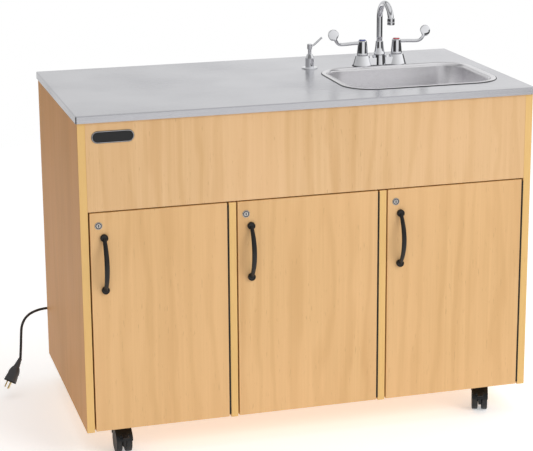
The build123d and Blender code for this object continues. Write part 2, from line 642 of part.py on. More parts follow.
def handles():
    cone_z = TOWER_TOP + LIFT
    for side, name in ((-1, "handle_cold"), (1, "handle_hot")):
        x = FAUCET_X + side * FAUCET_SPREAD / 2
        hub = cone(x, FAUCET_Y, cone_z, HUB_RADIUS, HUB_TOP_RADIUS, HUB_HEIGHT)
        hub = fillet(hub.edges().group_by(Axis.Z)[-1], HUB_ROUND)
        hub += stem(x)
        arm_z = cone_z + HUB_HEIGHT - BLADE_BELOW_TOP
        paddle_x = x + side * (BLADE_REACH - PADDLE_RADIUS)
        paddle_z = arm_z + BLADE_RISE
        points = [
            (x + side * HUB_TOP_RADIUS / 2, FAUCET_Y, arm_z),
            (paddle_x - side * PADDLE_RADIUS * 6 / 5, FAUCET_Y, arm_z - BLADE_SAG),
            (paddle_x - side * PADDLE_RADIUS / 8, FAUCET_Y, paddle_z - PADDLE_RADIUS / 3),
            (paddle_x, FAUCET_Y, paddle_z),
        ]
        arm = pipe(points, BLADE_BAR, BLADE_BENDS)
        disc_y = FAUCET_Y - PADDLE_THICK / 2
        disc = rod(paddle_x, disc_y, paddle_z, PADDLE_RADIUS, PADDLE_THICK, "Y")
        disc = fillet(disc.edges().filter_by(GeomType.CIRCLE), PADDLE_ROUND)
        place(name, hub + arm + disc)


def soap():
    """A collar on the worktop with the bottle under it, and the pump that is pressed down."""
    x, y, z = SOAP_X, SOAP_Y, WORKTOP_TOP
    bore = SOAP_NECK_RADIUS + RUNNING_CLEARANCE
    shoulder_z = z + SOAP_BODY_HEIGHT - SOAP_SHOULDER
    mouth = SOAP_NECK_RADIUS + SOAP_MOUTH_WALL
    bottle_top = z - WORKTOP_APRON - SOAP_THREAD_BELOW
    collar = rod(x, y, z, SOAP_FLANGE_RADIUS, SOAP_FLANGE_THICK)
    collar = fillet(collar.edges().group_by(Axis.Z)[-1], SOAP_FLANGE_ROUND)
    collar += rod(x, y, z, SOAP_BODY_RADIUS, shoulder_z - z)
    collar += cone(x, y, shoulder_z, SOAP_BODY_RADIUS, mouth, SOAP_SHOULDER)
    collar += rod(x, y, bottle_top, SOAP_BODY_RADIUS - SOAP_THREAD_WALL, z - bottle_top)
    collar -= rod(x, y, bottle_top, bore, z + SOAP_BODY_HEIGHT - bottle_top)
    place("soap_collar", collar)
    base_z = bottle_top - SOAP_BOTTLE_HEIGHT
    inside = SOAP_BOTTLE_HEIGHT - SOAP_BOTTLE_FLOOR - SOAP_BOTTLE_TOP
    bottle = rod(x, y, base_z, SOAP_BOTTLE_RADIUS, SOAP_BOTTLE_HEIGHT)
    bottle = fillet(bottle.edges(), SOAP_BOTTLE_ROUND)
    bottle -= rod(x, y, base_z + SOAP_BOTTLE_FLOOR, SOAP_BOTTLE_RADIUS - SOAP_BOTTLE_WALL, inside)
    bottle -= rod(x, y, bottle_top - SOAP_BOTTLE_TOP, bore + SOAP_BOTTLE_WALL, SOAP_BOTTLE_TOP)
    place("soap_bottle", bottle)
    stem_bottom = bottle_top - SOAP_TRAVEL
    head_z = z + SOAP_HEAD_RISE
    nozzle_z = head_z - SOAP_NOZZLE_BELOW_TOP
    pump = rod(x, y, stem_bottom, SOAP_NECK_RADIUS, nozzle_z - stem_bottom)
    head = rod(x, y, head_z - SOAP_HEAD_LENGTH, SOAP_HEAD_RADIUS, SOAP_HEAD_LENGTH)
    pump += fillet(head.edges(), SOAP_HEAD_ROUND)
    points = [
        (x, y, nozzle_z),
        (x + SOAP_NOZZLE_REACH / 3, y, nozzle_z + SOAP_NOZZLE_RISE / 6),
        (x + SOAP_NOZZLE_REACH, y, nozzle_z + SOAP_NOZZLE_RISE),
    ]
    pump += pipe(points, SOAP_NOZZLE_RADIUS, [SOAP_NOZZLE_BEND])
    place("soap_pump", pump)


# ---------------------------------------------------------------- doors
def door_span(bay):
    """Left and right edges of the door in a bay."""
    left = BAY_LEFT[bay] + DOOR_GAP
    return left, BAY_LEFT[bay] + BAY_WIDTH[bay] - DOOR_GAP


def hinge_half(axis_x, leaf_x, fixed):
    """One leaf with its own knuckles. The fixed half carries the pin."""
    low = DOOR_BOTTOM + HINGE_END_MARGIN
    high = DOOR_TOP - HINGE_END_MARGIN
    pitch = (high - low) / HINGE_KNUCKLES
    gap = HINGE_KNUCKLE_GAP
    x0, x1 = sorted((leaf_x, leaf_x + (-HINGE_LEAF if fixed else HINGE_LEAF)))
    half = slab(x0, x1, HINGE_KNUCKLE + gap, HINGE_LEAF_DEPTH, low + gap, high - gap)
    for index in range(1 if fixed else 0, HINGE_KNUCKLES, 2):
        z, length = low + index * pitch + gap, pitch - 2 * gap
        knuckle = rod(axis_x, 0, z, HINGE_KNUCKLE, length)
        knuckle += slab(min(x0, axis_x), max(x1, axis_x), 0, 2 * HINGE_KNUCKLE, z, z + length)
        if not fixed:
            knuckle -= rod(axis_x, 0, z, HINGE_PIN + RUNNING_CLEARANCE, length)
        half += knuckle
    if fixed:
        half += rod(axis_x, 0, low + gap, HINGE_PIN, high - low - 2 * gap)
    return half


def pull(x, top_z):
    """Two round feet and a bowed grip that is widest at its middle."""
    bottom_z = top_z - PULL_SPACING
    made = None
    for z in (top_z, bottom_z):
        foot = rod(x, -PULL_FOOT_HEIGHT, z, PULL_FOOT_RADIUS, PULL_FOOT_HEIGHT, "Y")
        foot = fillet(foot.edges().group_by(Axis.Y)[0], PULL_FOOT_ROUND)
        made = foot if made is None else made + foot
    apex = (x, -PULL_REACH + PULL_GRIP_THICK / 2, (top_z + bottom_z) / 2)
    foot_y = -PULL_FOOT_HEIGHT / 2
    with BuildLine() as bow:
        ThreePointArc((x, foot_y, top_z), apex, (x, foot_y, bottom_z))
    sections = []
    for share, width in ((0, PULL_END_WIDTH), (0.5, PULL_MIDDLE_WIDTH), (1, PULL_END_WIDTH)):
        across = Plane(origin=bow.line @ share, z_dir=bow.line % share, x_dir=(1, 0, 0))
        sections.append(across * Ellipse(width / 2, PULL_GRIP_THICK / 2))
    return made + sweep(sections, path=bow.line, multisection=True)


def door_fittings(bay):
    """A door with its pull, lock and hinge leaf; gives back the cabinet's half of the hinge."""
    name = BAY_NAMES[bay]
    left, right = door_span(bay)
    lock_x, lock_z = left + LOCK_FROM_EDGE, DOOR_TOP - LOCK_FROM_TOP
    panel = slab(left, right - HINGE_LEAF, 0, DOOR_THICK, DOOR_BOTTOM, DOOR_TOP)
    panel -= rod(lock_x, 0, lock_z, LOCK_BARREL_RADIUS, DOOR_THICK, "Y")
    place(f"door_{name}", panel)
    place(f"pull_{name}", pull(left + PULL_FROM_EDGE, DOOR_TOP - PULL_TOP_FROM_DOOR_TOP))

    back_y = DOOR_THICK + LOCK_BEHIND
    front_y = -LOCK_FACE_THICK
    plug_bore = LOCK_PLUG_RADIUS + RUNNING_CLEARANCE
    shell = rod(lock_x, front_y, lock_z, LOCK_FACE_RADIUS, LOCK_FACE_THICK, "Y")
    shell = fillet(shell.edges().group_by(Axis.Y)[0], LOCK_FACE_THICK / 2)
    shell += rod(lock_x, 0, lock_z, LOCK_BARREL_RADIUS, back_y, "Y")
    shell += rod(lock_x, DOOR_THICK, lock_z, LOCK_NUT_RADIUS, LOCK_NUT_THICK, "Y")
    shell -= rod(lock_x, front_y, lock_z, plug_bore, back_y - front_y, "Y")
    place(f"lock_{name}", shell)
    cam_y = back_y + LIFT
    plug = rod(lock_x, front_y, lock_z, LOCK_PLUG_RADIUS, cam_y - front_y, "Y")
    half_slot, half_height = KEY_SLOT_WIDTH / 2, KEY_SLOT_HEIGHT / 2
    plug -= slab(
        lock_x - half_slot, lock_x + half_slot, front_y, KEY_SLOT_DEPTH,
        lock_z - half_height, lock_z + half_height,
    )
    arm = extrude(Plane.XZ * SlotOverall(CAM_LENGTH, CAM_WIDTH), CAM_THICK)
    arm_x = lock_x + (CAM_LENGTH - CAM_WIDTH) / 2
    place(f"cam_{name}", plug + Pos(arm_x, cam_y + CAM_THICK, lock_z) * arm)
    hinge_x = right + DOOR_GAP / 2
    place(f"hinge_leaf_{name}", hinge_half(hinge_x, right - HINGE_LEAF, False))
    return hinge_half(hinge_x, right + DOOR_GAP, True)


# ---------------------------------------------------------------- casters
def brake_pin():
    """Where the brake lever's pin is, in the caster's own place."""
    hood_outside = CASTER_WHEEL_RADIUS + HOOD_CLEARANCE + HOOD_THICK
    out = hood_outside + BRAKE_BARREL_RADIUS + BRAKE_OFF_HOOD
    turn = math.radians(BRAKE_ANGLE)
    return CASTER_TRAIL + out * math.cos(turn), CASTER_WHEEL_RADIUS + out * math.sin(turn)


def caster_hood(brake):
    """The swivelling hood about the kingpin, which stands at the origin; it trails along +X."""
    axle_z = CASTER_WHEEL_RADIUS
    inner = CASTER_WHEEL_RADIUS + HOOD_CLEARANCE
    outer = inner + HOOD_THICK
    half = CASTER_WEB / 2 + CASTER_WHEEL_GAP + CASTER_WHEEL_THICK + HOOD_SIDE
    edge_z = axle_z + HOOD_EDGE_RISE
    reach = 2 * outer
    shell = rod(CASTER_TRAIL, -half, axle_z, outer, 2 * half, "Y")
    shell -= rod(CASTER_TRAIL, -half, axle_z, inner, 2 * half, "Y")
    shell -= slab(-reach, 2 * reach, -2 * half, 2 * half, -reach, edge_z)
    web = rod(CASTER_TRAIL, -CASTER_WEB / 2, axle_z, inner + HOOD_THICK / 2, CASTER_WEB, "Y")
    web -= slab(-reach, 2 * reach, -half, half, -reach, axle_z - 2 * CASTER_AXLE_RADIUS)
    boss_bottom = axle_z + inner + HOOD_THICK / 4
    boss_top = CASTER_HEIGHT - CASTER_PLATE_THICK - LIFT
    boss = rod(0, 0, boss_bottom, HOOD_BOSS_RADIUS, boss_top - boss_bottom)
    neck = slab(
        -HOOD_BOSS_RADIUS * 0.7, CASTER_TRAIL, -CASTER_WEB / 2, CASTER_WEB / 2,
        edge_z, boss_bottom + HOOD_THICK / 4,
    )
    hood = shell + web + boss + neck
    pin_bore = KINGPIN_RADIUS + RUNNING_CLEARANCE
    hood -= rod(0, 0, boss_top - KINGPIN_LENGTH, pin_bore, KINGPIN_LENGTH)
    axle_bore = CASTER_AXLE_RADIUS + RUNNING_CLEARANCE
    hood -= rod(CASTER_TRAIL, -half, axle_z, axle_bore, 2 * half, "Y")
    if brake:
        pin_x, pin_z = brake_pin()
        ear_y = BRAKE_WIDTH / 2 + LIFT
        foot_x = CASTER_TRAIL + inner * math.cos(math.radians(BRAKE_ANGLE))
        for y in (-ear_y - BRAKE_EAR_THICK, ear_y):
            ear = rod(pin_x, y, pin_z, BRAKE_BARREL_RADIUS, BRAKE_EAR_THICK, "Y")
            ear += slab(
                foot_x - BRAKE_OFF_HOOD, pin_x, y, y + BRAKE_EAR_THICK,
                pin_z - BRAKE_BARREL_RADIUS, pin_z,
            )
            ear -= rod(CASTER_TRAIL, y, axle_z, inner, BRAKE_EAR_THICK, "Y")
            ear -= rod(pin_x, y, pin_z, BRAKE_PIN_RADIUS + RUNNING_CLEARANCE, BRAKE_EAR_THICK, "Y")
            hood += ear
    return hood


def caster_wheels():
    """Both wheels on their axle."""
    inner_y = CASTER_WEB / 2 + CASTER_WHEEL_GAP
    axle_half = inner_y + CASTER_WHEEL_GAP
    z = CASTER_WHEEL_RADIUS
    wheels = rod(CASTER_TRAIL, -axle_half, z, CASTER_AXLE_RADIUS, 2 * axle_half, "Y")
    for y in (-inner_y - CASTER_WHEEL_THICK, inner_y):
        wheel = rod(CASTER_TRAIL, y, z, CASTER_WHEEL_RADIUS, CASTER_WHEEL_THICK, "Y")
        wheels += fillet(wheel.edges().filter_by(GeomType.CIRCLE), CASTER_WHEEL_ROUND)
    return wheels


def brake_lever():
    pin_x, pin_z = brake_pin()
    y0 = -BRAKE_WIDTH / 2
    lever = rod(pin_x, y0, pin_z, BRAKE_BARREL_RADIUS, BRAKE_WIDTH, "Y")
    lever += slab(pin_x, pin_x + BRAKE_LENGTH, y0, y0 + BRAKE_WIDTH, pin_z, pin_z + BRAKE_THICK)
    overhang = LIFT + BRAKE_EAR_THICK
    lever += rod(pin_x, y0 - overhang, pin_z, BRAKE_PIN_RADIUS, BRAKE_WIDTH + 2 * overhang, "Y")
    return lever


def caster_plate(x, y):
    """The fixed plate with its kingpin and four bolt heads."""
    half = CASTER_PLATE / 2
    plate_z = CASTER_HEIGHT - CASTER_PLATE_THICK
    plate = slab(x - half, x + half, y - half, y + half, plate_z, CASTER_HEIGHT)
    plate = fillet(plate.edges().filter_by(Axis.Z), CASTER_PLATE_CORNER)
    plate += rod(x, y, plate_z - KINGPIN_LENGTH, KINGPIN_RADIUS, KINGPIN_LENGTH)
    out = half - CASTER_BOLT_INSET
    for dx, dy in ((-out, -out), (out, -out), (-out, out), (out, out)):
        plate += rod(x + dx, y + dy, plate_z - CASTER_BOLT_HEAD, CASTER_BOLT_RADIUS, CASTER_BOLT_HEAD)
    return plate


def casters():
    right = CABINET_WIDTH - CASTER_INSET_SIDE
    back = CABINET_DEPTH - CASTER_INSET_BACK
    corners = [
        ("front_left", CASTER_INSET_SIDE, CASTER_INSET_FRONT, FRONT_LEFT_YAW, True),
        ("front_right", right, CASTER_INSET_FRONT, FRONT_RIGHT_YAW, True),
        ("back_left", CASTER_INSET_SIDE, back, BACK_LEFT_YAW, False),
        ("back_right", right, back, BACK_RIGHT_YAW, False),
    ]
    plates = []
    for name, x, y, yaw, brake in corners:
        where = Pos(x, y, 0) * Rot(0, 0, yaw)
        place(f"caster_hood_{name}", where * caster_hood(brake))
        place(f"caster_wheels_{name}", where * caster_wheels())
        if brake:
            place(f"brake_lever_{name}", where * brake_lever())
        plates.append(caster_plate(x, y))
    place("caster_plates", *plates)


# ---------------------------------------------------------------- tanks, pump and heater
def tank(x, y, width, depth, height):
    """A hollow moulded tank with a neck on top; x and y are its middle."""
    size = (width, depth, height)
    seat = (Align.CENTER, Align.CENTER, Align.MIN)
    body = fillet(Box(*size, align=seat).edges(), TANK_ROUND)
    body += rod(0, 0, height - TANK_WALL / 2, NECK_RADIUS, NECK_HEIGHT + TANK_WALL / 2)
    inner = Box(*[s - 2 * TANK_WALL for s in size], align=seat)
    body -= Pos(0, 0, TANK_WALL) * fillet(inner.edges(), TANK_ROUND - TANK_WALL)
    body -= rod(0, 0, height / 2, NECK_RADIUS - TANK_WALL, height)
    return Pos(x, y, FLOOR_TOP) * body


def tank_cap(x, y, height, hole):
    """A screw cap with grooves round it and a hole for its hose."""
    cap = fillet(rod(0, 0, 0, CAP_RADIUS, CAP_HEIGHT).edges().group_by(Axis.Z)[-1], CAP_ROUND)
    cap -= rod(0, 0, 0, NECK_RADIUS + CAP_CLEARANCE, NECK_HEIGHT - CAP_LIFT + CAP_CLEARANCE)
    for step in range(CAP_GRIPS):
        turn = math.radians(360 * step / CAP_GRIPS)
        gx, gy = CAP_RADIUS * math.cos(turn), CAP_RADIUS * math.sin(turn)
        cap -= rod(gx, gy, 0, CAP_GRIP_RADIUS, CAP_HEIGHT - CAP_GRIP_STOP)
    cap -= rod(0, 0, 0, hole, CAP_HEIGHT)
    return Pos(x, y, FLOOR_TOP + height + CAP_LIFT) * cap


def tanks():
    place("waste_tank", tank(WASTE_X, WASTE_Y, WASTE_WIDTH, WASTE_DEPTH, WASTE_HEIGHT))
    place("fresh_tank", tank(FRESH_X, FRESH_Y, FRESH_WIDTH, FRESH_DEPTH, FRESH_HEIGHT))
    waste_cap = tank_cap(WASTE_X, WASTE_Y, WASTE_HEIGHT, DRAIN_HOSE_RADIUS + CAP_CLEARANCE)
    fresh_cap = tank_cap(FRESH_X, FRESH_Y, FRESH_HEIGHT, HOSE_RADIUS + CAP_CLEARANCE)
    place("tank_caps", waste_cap, fresh_cap)


def drain_hose():
    """From a cuff on the bowl's tail down into the waste tank."""
    x, y = BOWL_X, BOWL_Y
    start = TAIL_END - DRAIN_CUFF_LIP / 3
    points = [
        (x, y, start),
        (x, y, TAIL_END - DRAIN_HOSE_DROP),
        (WASTE_X, WASTE_Y, TAIL_END - 2 * DRAIN_HOSE_DROP),
        (WASTE_X, WASTE_Y, FLOOR_TOP + WASTE_HEIGHT - DRAIN_HOSE_DIP),
    ]
    hose = pipe(points, DRAIN_HOSE_RADIUS, [DRAIN_HOSE_BEND] * 2, DRAIN_HOSE_WALL)
    bore = DRAIN_HOSE_RADIUS - DRAIN_HOSE_WALL
    lip_z = TAIL_END - DRAIN_CUFF_LIP
    cuff = rod(x, y, lip_z, TAIL_RADIUS + DRAIN_HOSE_WALL, DRAIN_CUFF_LENGTH)
    cuff -= rod(x, y, TAIL_END, TAIL_RADIUS, DRAIN_CUFF_LENGTH)
    cuff -= rod(x, y, lip_z, bore, DRAIN_CUFF_LENGTH)
    place("drain_hose", hose + cuff)


def heater_and_pump():
    """Both hang on the back panel; gives back where their pipes join them."""
    x = BAY_LEFT[1] + HEATER_RADIUS + HEATER_FROM_DIVIDER
    y = INNER_BACK - HEATER_RADIUS - HEATER_OFF_BACK
    drum = rod(x, y, HEATER_BASE, HEATER_RADIUS, HEATER_HEIGHT)
    heater = fillet(drum.edges(), HEATER_ROUND) - offset(drum, -HEATER_WALL)
    for rise in STRAPS_ABOVE_BASE:
        z = HEATER_BASE + rise
        strap = slab(x - STRAP_WIDTH / 2, x + STRAP_WIDTH / 2, y, INNER_BACK, z, z + STRAP_HEIGHT)
        heater += strap - rod(x, y, HEATER_BASE, HEATER_RADIUS - HEATER_WALL / 2, HEATER_HEIGHT)
    place("water_heater", heater)

    px = BAY_LEFT[2] - DIVIDER_THICK - PUMP_FROM_DIVIDER
    py = INNER_BACK - PUMP_OFF_BACK
    pz = FLOOR_TOP + FRESH_HEIGHT + PUMP_OVER_TANK
    pump = fillet(rod(px, py, pz, PUMP_RADIUS, PUMP_LENGTH).edges(), PUMP_ROUND)
    head = slab(
        px - PUMP_HEAD, px + PUMP_HEAD, py - PUMP_HEAD, py + PUMP_HEAD,
        pz - PUMP_HEAD_BELOW, pz + PUMP_HEAD_ABOVE,
    )
    pump += fillet(head.edges(), PUMP_HEAD_ROUND)
    plate_y = INNER_BACK - PUMP_PLATE_THICK
    pump += slab(
        px - PUMP_PLATE_HALF, px + PUMP_PLATE_HALF, plate_y, INNER_BACK,
        pz - PUMP_PLATE_BELOW, pz + PUMP_LENGTH,
    )
    for rise in PUMP_ARMS_ABOVE_BASE:
        z = pz + rise
        arm_back = INNER_BACK - PUMP_PLATE_THICK / 2
        pump += slab(px - PUMP_ARM_HALF, px + PUMP_ARM_HALF, py, arm_back, z, z + PUMP_ARM_HEIGHT)
    place("water_pump", pump)
    return (x, y), (px, py, pz - PUMP_PORT_DROP)


def water_hoses(heater, port):
    """Tank to pump, pump to the cold shank and the heater, heater to the hot shank."""
    heater_x, heater_y = heater
    pump_x, pump_y, port_z = port
    cold_x = FAUCET_X - FAUCET_SPREAD / 2
    hot_x = FAUCET_X + FAUCET_SPREAD / 2
    shank_end = FAUCET_SEAT - SHANK_LENGTH
    suction = [
        (FRESH_X, FRESH_Y, FLOOR_TOP + SUCTION_ABOVE_FLOOR),
        (FRESH_X, FRESH_Y, port_z),
        (pump_x, FRESH_Y, port_z),
        (pump_x, pump_y - PUMP_HEAD, port_z),
    ]
    over_divider = FASCIA_BOTTOM + DIVIDER_RISE + HOSE_BEND
    riser_x = pump_x + PUMP_HEAD + 2 * HOSE_RADIUS
    cold = [
        (pump_x + PUMP_HEAD, pump_y, port_z),
        (riser_x, pump_y, port_z),
        (riser_x, pump_y, over_divider),
        (cold_x, pump_y, over_divider),
        (cold_x, FAUCET_Y, shank_end - HOSE_COLD_DROP),
        (cold_x, FAUCET_Y, shank_end),
    ]
    outlet_x = heater_x + HEATER_OUTLET_OFFSET
    crossing_z = HEATER_TOP + HOSE_OVER_HEATER
    hot = [
        (outlet_x, heater_y, HEATER_TOP),
        (outlet_x, heater_y, crossing_z),
        (hot_x, heater_y, crossing_z),
        (hot_x, FAUCET_Y, shank_end - HOSE_HOT_DROP),
        (hot_x, FAUCET_Y, shank_end),
    ]
    feed = [
        (pump_x - PUMP_HEAD, pump_y, port_z),
        (heater_x, pump_y, port_z),
        (heater_x, pump_y, HEATER_BASE),
    ]
    runs = [
        (suction, [HOSE_SUCTION_BEND, HOSE_BEND]),
        (cold, [HOSE_TIGHT_BEND, HOSE_CROSS_BEND, HOSE_CROSS_BEND, HOSE_RISE_BEND]),
        (hot, [HOSE_CROSS_BEND, HOSE_SUCTION_BEND, HOSE_RISE_BEND]),
        (feed, [HOSE_SUCTION_BEND]),
    ]
    place("water_hoses", *[pipe(points, HOSE_RADIUS, bends) for points, bends in runs])


# ---------------------------------------------------------------- power cord
def cord_run(points):
    """A run of cord whose every bend is as wide as the straights beside it allow."""
    radii = []
    for before, corner, after in zip(points, points[1:], points[2:]):
        into = Vector(*corner) - Vector(*before)
        out = Vector(*after) - Vector(*corner)
        turn = math.radians(into.get_angle(out))
        radii.append(0.45 * min(into.length, out.length) / math.tan(turn / 2))
    print("cord bends", [round(r, 1) for r in radii])
    print("cord length", round(FilletPolyline(*points, radius=radii).length, 1))
    return pipe(points, CORD_RADIUS, radii)


def power_cord():
    place("power_cord", cord_run(LEAD_ROUTE), cord_run(TAIL_ROUTE))
    ring = Plane(origin=(COIL_X + COIL_RADIUS, CORD_PLANE, COIL_Z), z_dir=(0, 0, 1))
    bundle = ring * Ellipse(COIL_WIDE, COIL_DEEP)
    coil = revolve(bundle, Axis((COIL_X, CORD_PLANE, COIL_Z), (0, 1, 0)), 360)
    place("cord_coil", coil)

    gland = rod(GLAND_X, INNER_BACK, GLAND_Z, GLAND_RADIUS, BACK_THICK, "Y")
    gland += rod(GLAND_X, CABINET_DEPTH, GLAND_Z, GLAND_FLANGE, GLAND_FLANGE_THICK, "Y")
    taper = cone(0, 0, 0, GLAND_RADIUS, CORD_RADIUS + GLAND_TIP_WALL, GLAND_LENGTH)
    gland += Pos(GLAND_X, CABINET_DEPTH, GLAND_Z) * Rot(-90, 0, 0) * taper
    place("cord_gland", gland)


def cord_hook():
    """A plate on the back panel with an upturned peg under the coil's inner turns."""
    peg_z = COIL_Z + COIL_RADIUS - COIL_WIDE - HOOK_PEG_BELOW
    half, peg_half = HOOK_PLATE / 2, HOOK_PEG_HALF
    tip_y = CABINET_DEPTH + HOOK_REACH
    peg_top = peg_z + HOOK_PEG_THICK
    plate = slab(
        COIL_X - half, COIL_X + half, CABINET_DEPTH, CABINET_DEPTH + HOOK_THICK,
        peg_z - HOOK_PLATE, peg_top,
    )
    hook = fillet(plate.edges().filter_by(Axis.Y), HOOK_CORNER)
    hook += slab(COIL_X - peg_half, COIL_X + peg_half, CABINET_DEPTH, tip_y, peg_z, peg_top)
    hook += slab(
        COIL_X - peg_half, COIL_X + peg_half, tip_y - HOOK_THICK, tip_y,
        peg_z, peg_z + HOOK_TIP_HEIGHT,
    )
    place("cord_hook", hook)


def plug():
    aim = Plane(origin=PLUG_BACK, z_dir=PLUG_AIM, x_dir=PLUG_ACROSS)
    neck_end = aim.offset(PLUG_NECK)
    face = aim.offset(PLUG_NECK + PLUG_BODY)
    neck = loft([aim * Circle(CORD_RADIUS + PLUG_NECK_WALL), neck_end * Circle(PLUG_NECK_END)])
    shoulder = neck_end.offset(-PLUG_LAP) * RectangleRounded(*PLUG_SHOULDER)
    front = face * RectangleRounded(PLUG_WIDTH, PLUG_THICK, PLUG_CORNER)
    place("plug_body", neck + loft([shoulder, front]))
    pin = Pos(0, GROUND_PIN_OFFSET, 0) * Circle(GROUND_PIN_RADIUS)
    prongs = [extrude(face * pin, GROUND_PIN_LENGTH)]
    for side in (-1, 1):
        middle = Pos(side * BLADE_PRONG_SPREAD / 2, BLADE_PRONG_OFFSET, 0)
        blade = middle * Rectangle(BLADE_PRONG_THICK, BLADE_PRONG_WIDTH)
        prongs.append(extrude(face * blade, BLADE_PRONG_LENGTH))
    place("plug_blades", *prongs)


cabinet()
worktop()
basin()
drain()
faucet_base()
spout()
handles()
soap()
place("hinge_leaves_fixed", *[door_fittings(bay) for bay in range(len(BAY_NAMES))])
casters()
tanks()
drain_hose()
water_hoses(*heater_and_pump())
power_cord()
cord_hook()
plug()
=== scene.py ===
import json
import math

import bmesh
import bpy
from mathutils import Matrix, Vector


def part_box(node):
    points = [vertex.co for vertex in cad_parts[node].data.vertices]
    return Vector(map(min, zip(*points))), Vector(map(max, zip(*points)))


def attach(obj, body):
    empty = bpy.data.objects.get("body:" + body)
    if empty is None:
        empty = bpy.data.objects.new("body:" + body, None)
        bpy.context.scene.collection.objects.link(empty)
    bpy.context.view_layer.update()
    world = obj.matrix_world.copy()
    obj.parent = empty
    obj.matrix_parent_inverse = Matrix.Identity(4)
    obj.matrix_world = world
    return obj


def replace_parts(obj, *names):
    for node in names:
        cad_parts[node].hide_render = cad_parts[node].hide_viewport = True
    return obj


# A portable handwash sink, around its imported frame. Metres; the front faces -Y.
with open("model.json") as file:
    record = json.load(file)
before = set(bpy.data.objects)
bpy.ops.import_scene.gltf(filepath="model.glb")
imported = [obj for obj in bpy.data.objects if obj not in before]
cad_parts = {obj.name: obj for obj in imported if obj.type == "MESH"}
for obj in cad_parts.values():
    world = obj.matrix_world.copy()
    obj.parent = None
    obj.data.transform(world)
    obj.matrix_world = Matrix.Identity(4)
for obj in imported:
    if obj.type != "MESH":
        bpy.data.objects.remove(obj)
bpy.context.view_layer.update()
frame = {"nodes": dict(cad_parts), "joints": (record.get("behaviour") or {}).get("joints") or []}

MM = 0.001
FINE = 64                   # segments round a part that is looked at closely


def low(node):
    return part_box(node)[0]


def high(node):
    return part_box(node)[1]


def middle(node):
    a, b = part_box(node)
    return (a + b) / 2


def joint(name):
    """Where a joint's axis is."""
    found = [j for j in frame["joints"] if j["name"] == name][0]
    return Vector(found["pos_m"])


# ---------------------------------------------------------------- materials
class Paint:
    """A Principled material with short ways to add and join its nodes."""

    def __init__(self, name, colour, roughness, **sockets):
        self.material = bpy.data.materials.new(name)
        self.material.use_nodes = True
        self.tree = self.material.node_tree
        self.shader = self.tree.nodes["Principled BSDF"]
        self.shader.inputs["Base Color"].default_value = (*colour, 1)
        self.shader.inputs["Roughness"].default_value = roughness
        for socket, value in sockets.items():
            self.shader.inputs[socket.replace("_", " ")].default_value = value
        self.material.diffuse_color = (*colour, 1)
        self.coords = self.add("ShaderNodeTexCoord")

    def add(self, kind, inputs=None, **settings):
        node = self.tree.nodes.new(kind)
        for key, value in settings.items():
            setattr(node, key, value)
        for key, value in (inputs or {}).items():
            if isinstance(value, bpy.types.NodeSocket):
                self.tree.links.new(value, node.inputs[key])
            else:
                node.inputs[key].default_value = value
        return node

    def stretched(self, scale, shift=(0, 0, 0)):
        """Object coordinates scaled along each axis."""
        source = self.coords.outputs["Object"]
        mapping = self.add("ShaderNodeMapping", {"Vector": source, "Scale": scale, "Location": shift})
        return mapping.outputs["Vector"]

    def noise(self, scale, shift=(0, 0, 0), detail=3.0, roughness=0.5, distortion=0.0):
        inputs = {
            "Vector": self.stretched(scale, shift), "Scale": 1.0, "Detail": detail,
            "Roughness": roughness, "Distortion": distortion,
        }
        return self.add("ShaderNodeTexNoise", inputs).outputs["Fac"]

    def span(self, value, low_in, high_in, low_out, high_out):
        inputs = {
            "Value": value, "From Min": low_in, "From Max": high_in,
            "To Min": low_out, "To Max": high_out,
        }
        return self.add("ShaderNodeMapRange", inputs).outputs["Result"]

    def mix(self, factor, a, b):
        node = self.add("ShaderNodeMix", data_type="RGBA")
        for index, value in ((0, factor), (6, a), (7, b)):
            socket = node.inputs[index]
            if isinstance(value, bpy.types.NodeSocket):
                self.tree.links.new(value, socket)
            elif index == 0:
                socket.default_value = value
            else:
                socket.default_value = (*value, 1)
        return node.outputs[2]

    def math(self, operation, a, b=0.5):
        node = self.add("ShaderNodeMath", operation=operation)
        for index, value in ((0, a), (1, b)):
            if isinstance(value, bpy.types.NodeSocket):
                self.tree.links.new(value, node.inputs[index])
            else:
                node.inputs[index].default_value = value
        return node.outputs[0]

    def drive(self, socket, value):
        self.tree.links.new(value, self.shader.inputs[socket])

    def bump(self, height, distance, strength=1.0):
        node = self.add("ShaderNodeBump", {"Height": height, "Distance": distance, "Strength": strength})
        self.drive("Normal", node.outputs["Normal"])


LAMINATE_LIGHT, LAMINATE_DARK = (0.785, 0.50, 0.238), (0.62, 0.355, 0.148)
SHADED_SIDE_LIGHT, SHADED_SIDE_DARK = (0.66, 0.33, 0.115), (0.55, 0.265, 0.08)    # painted shade: the left side is a deeper, redder tone than the right
FLECK = (0.47, 0.255, 0.105)


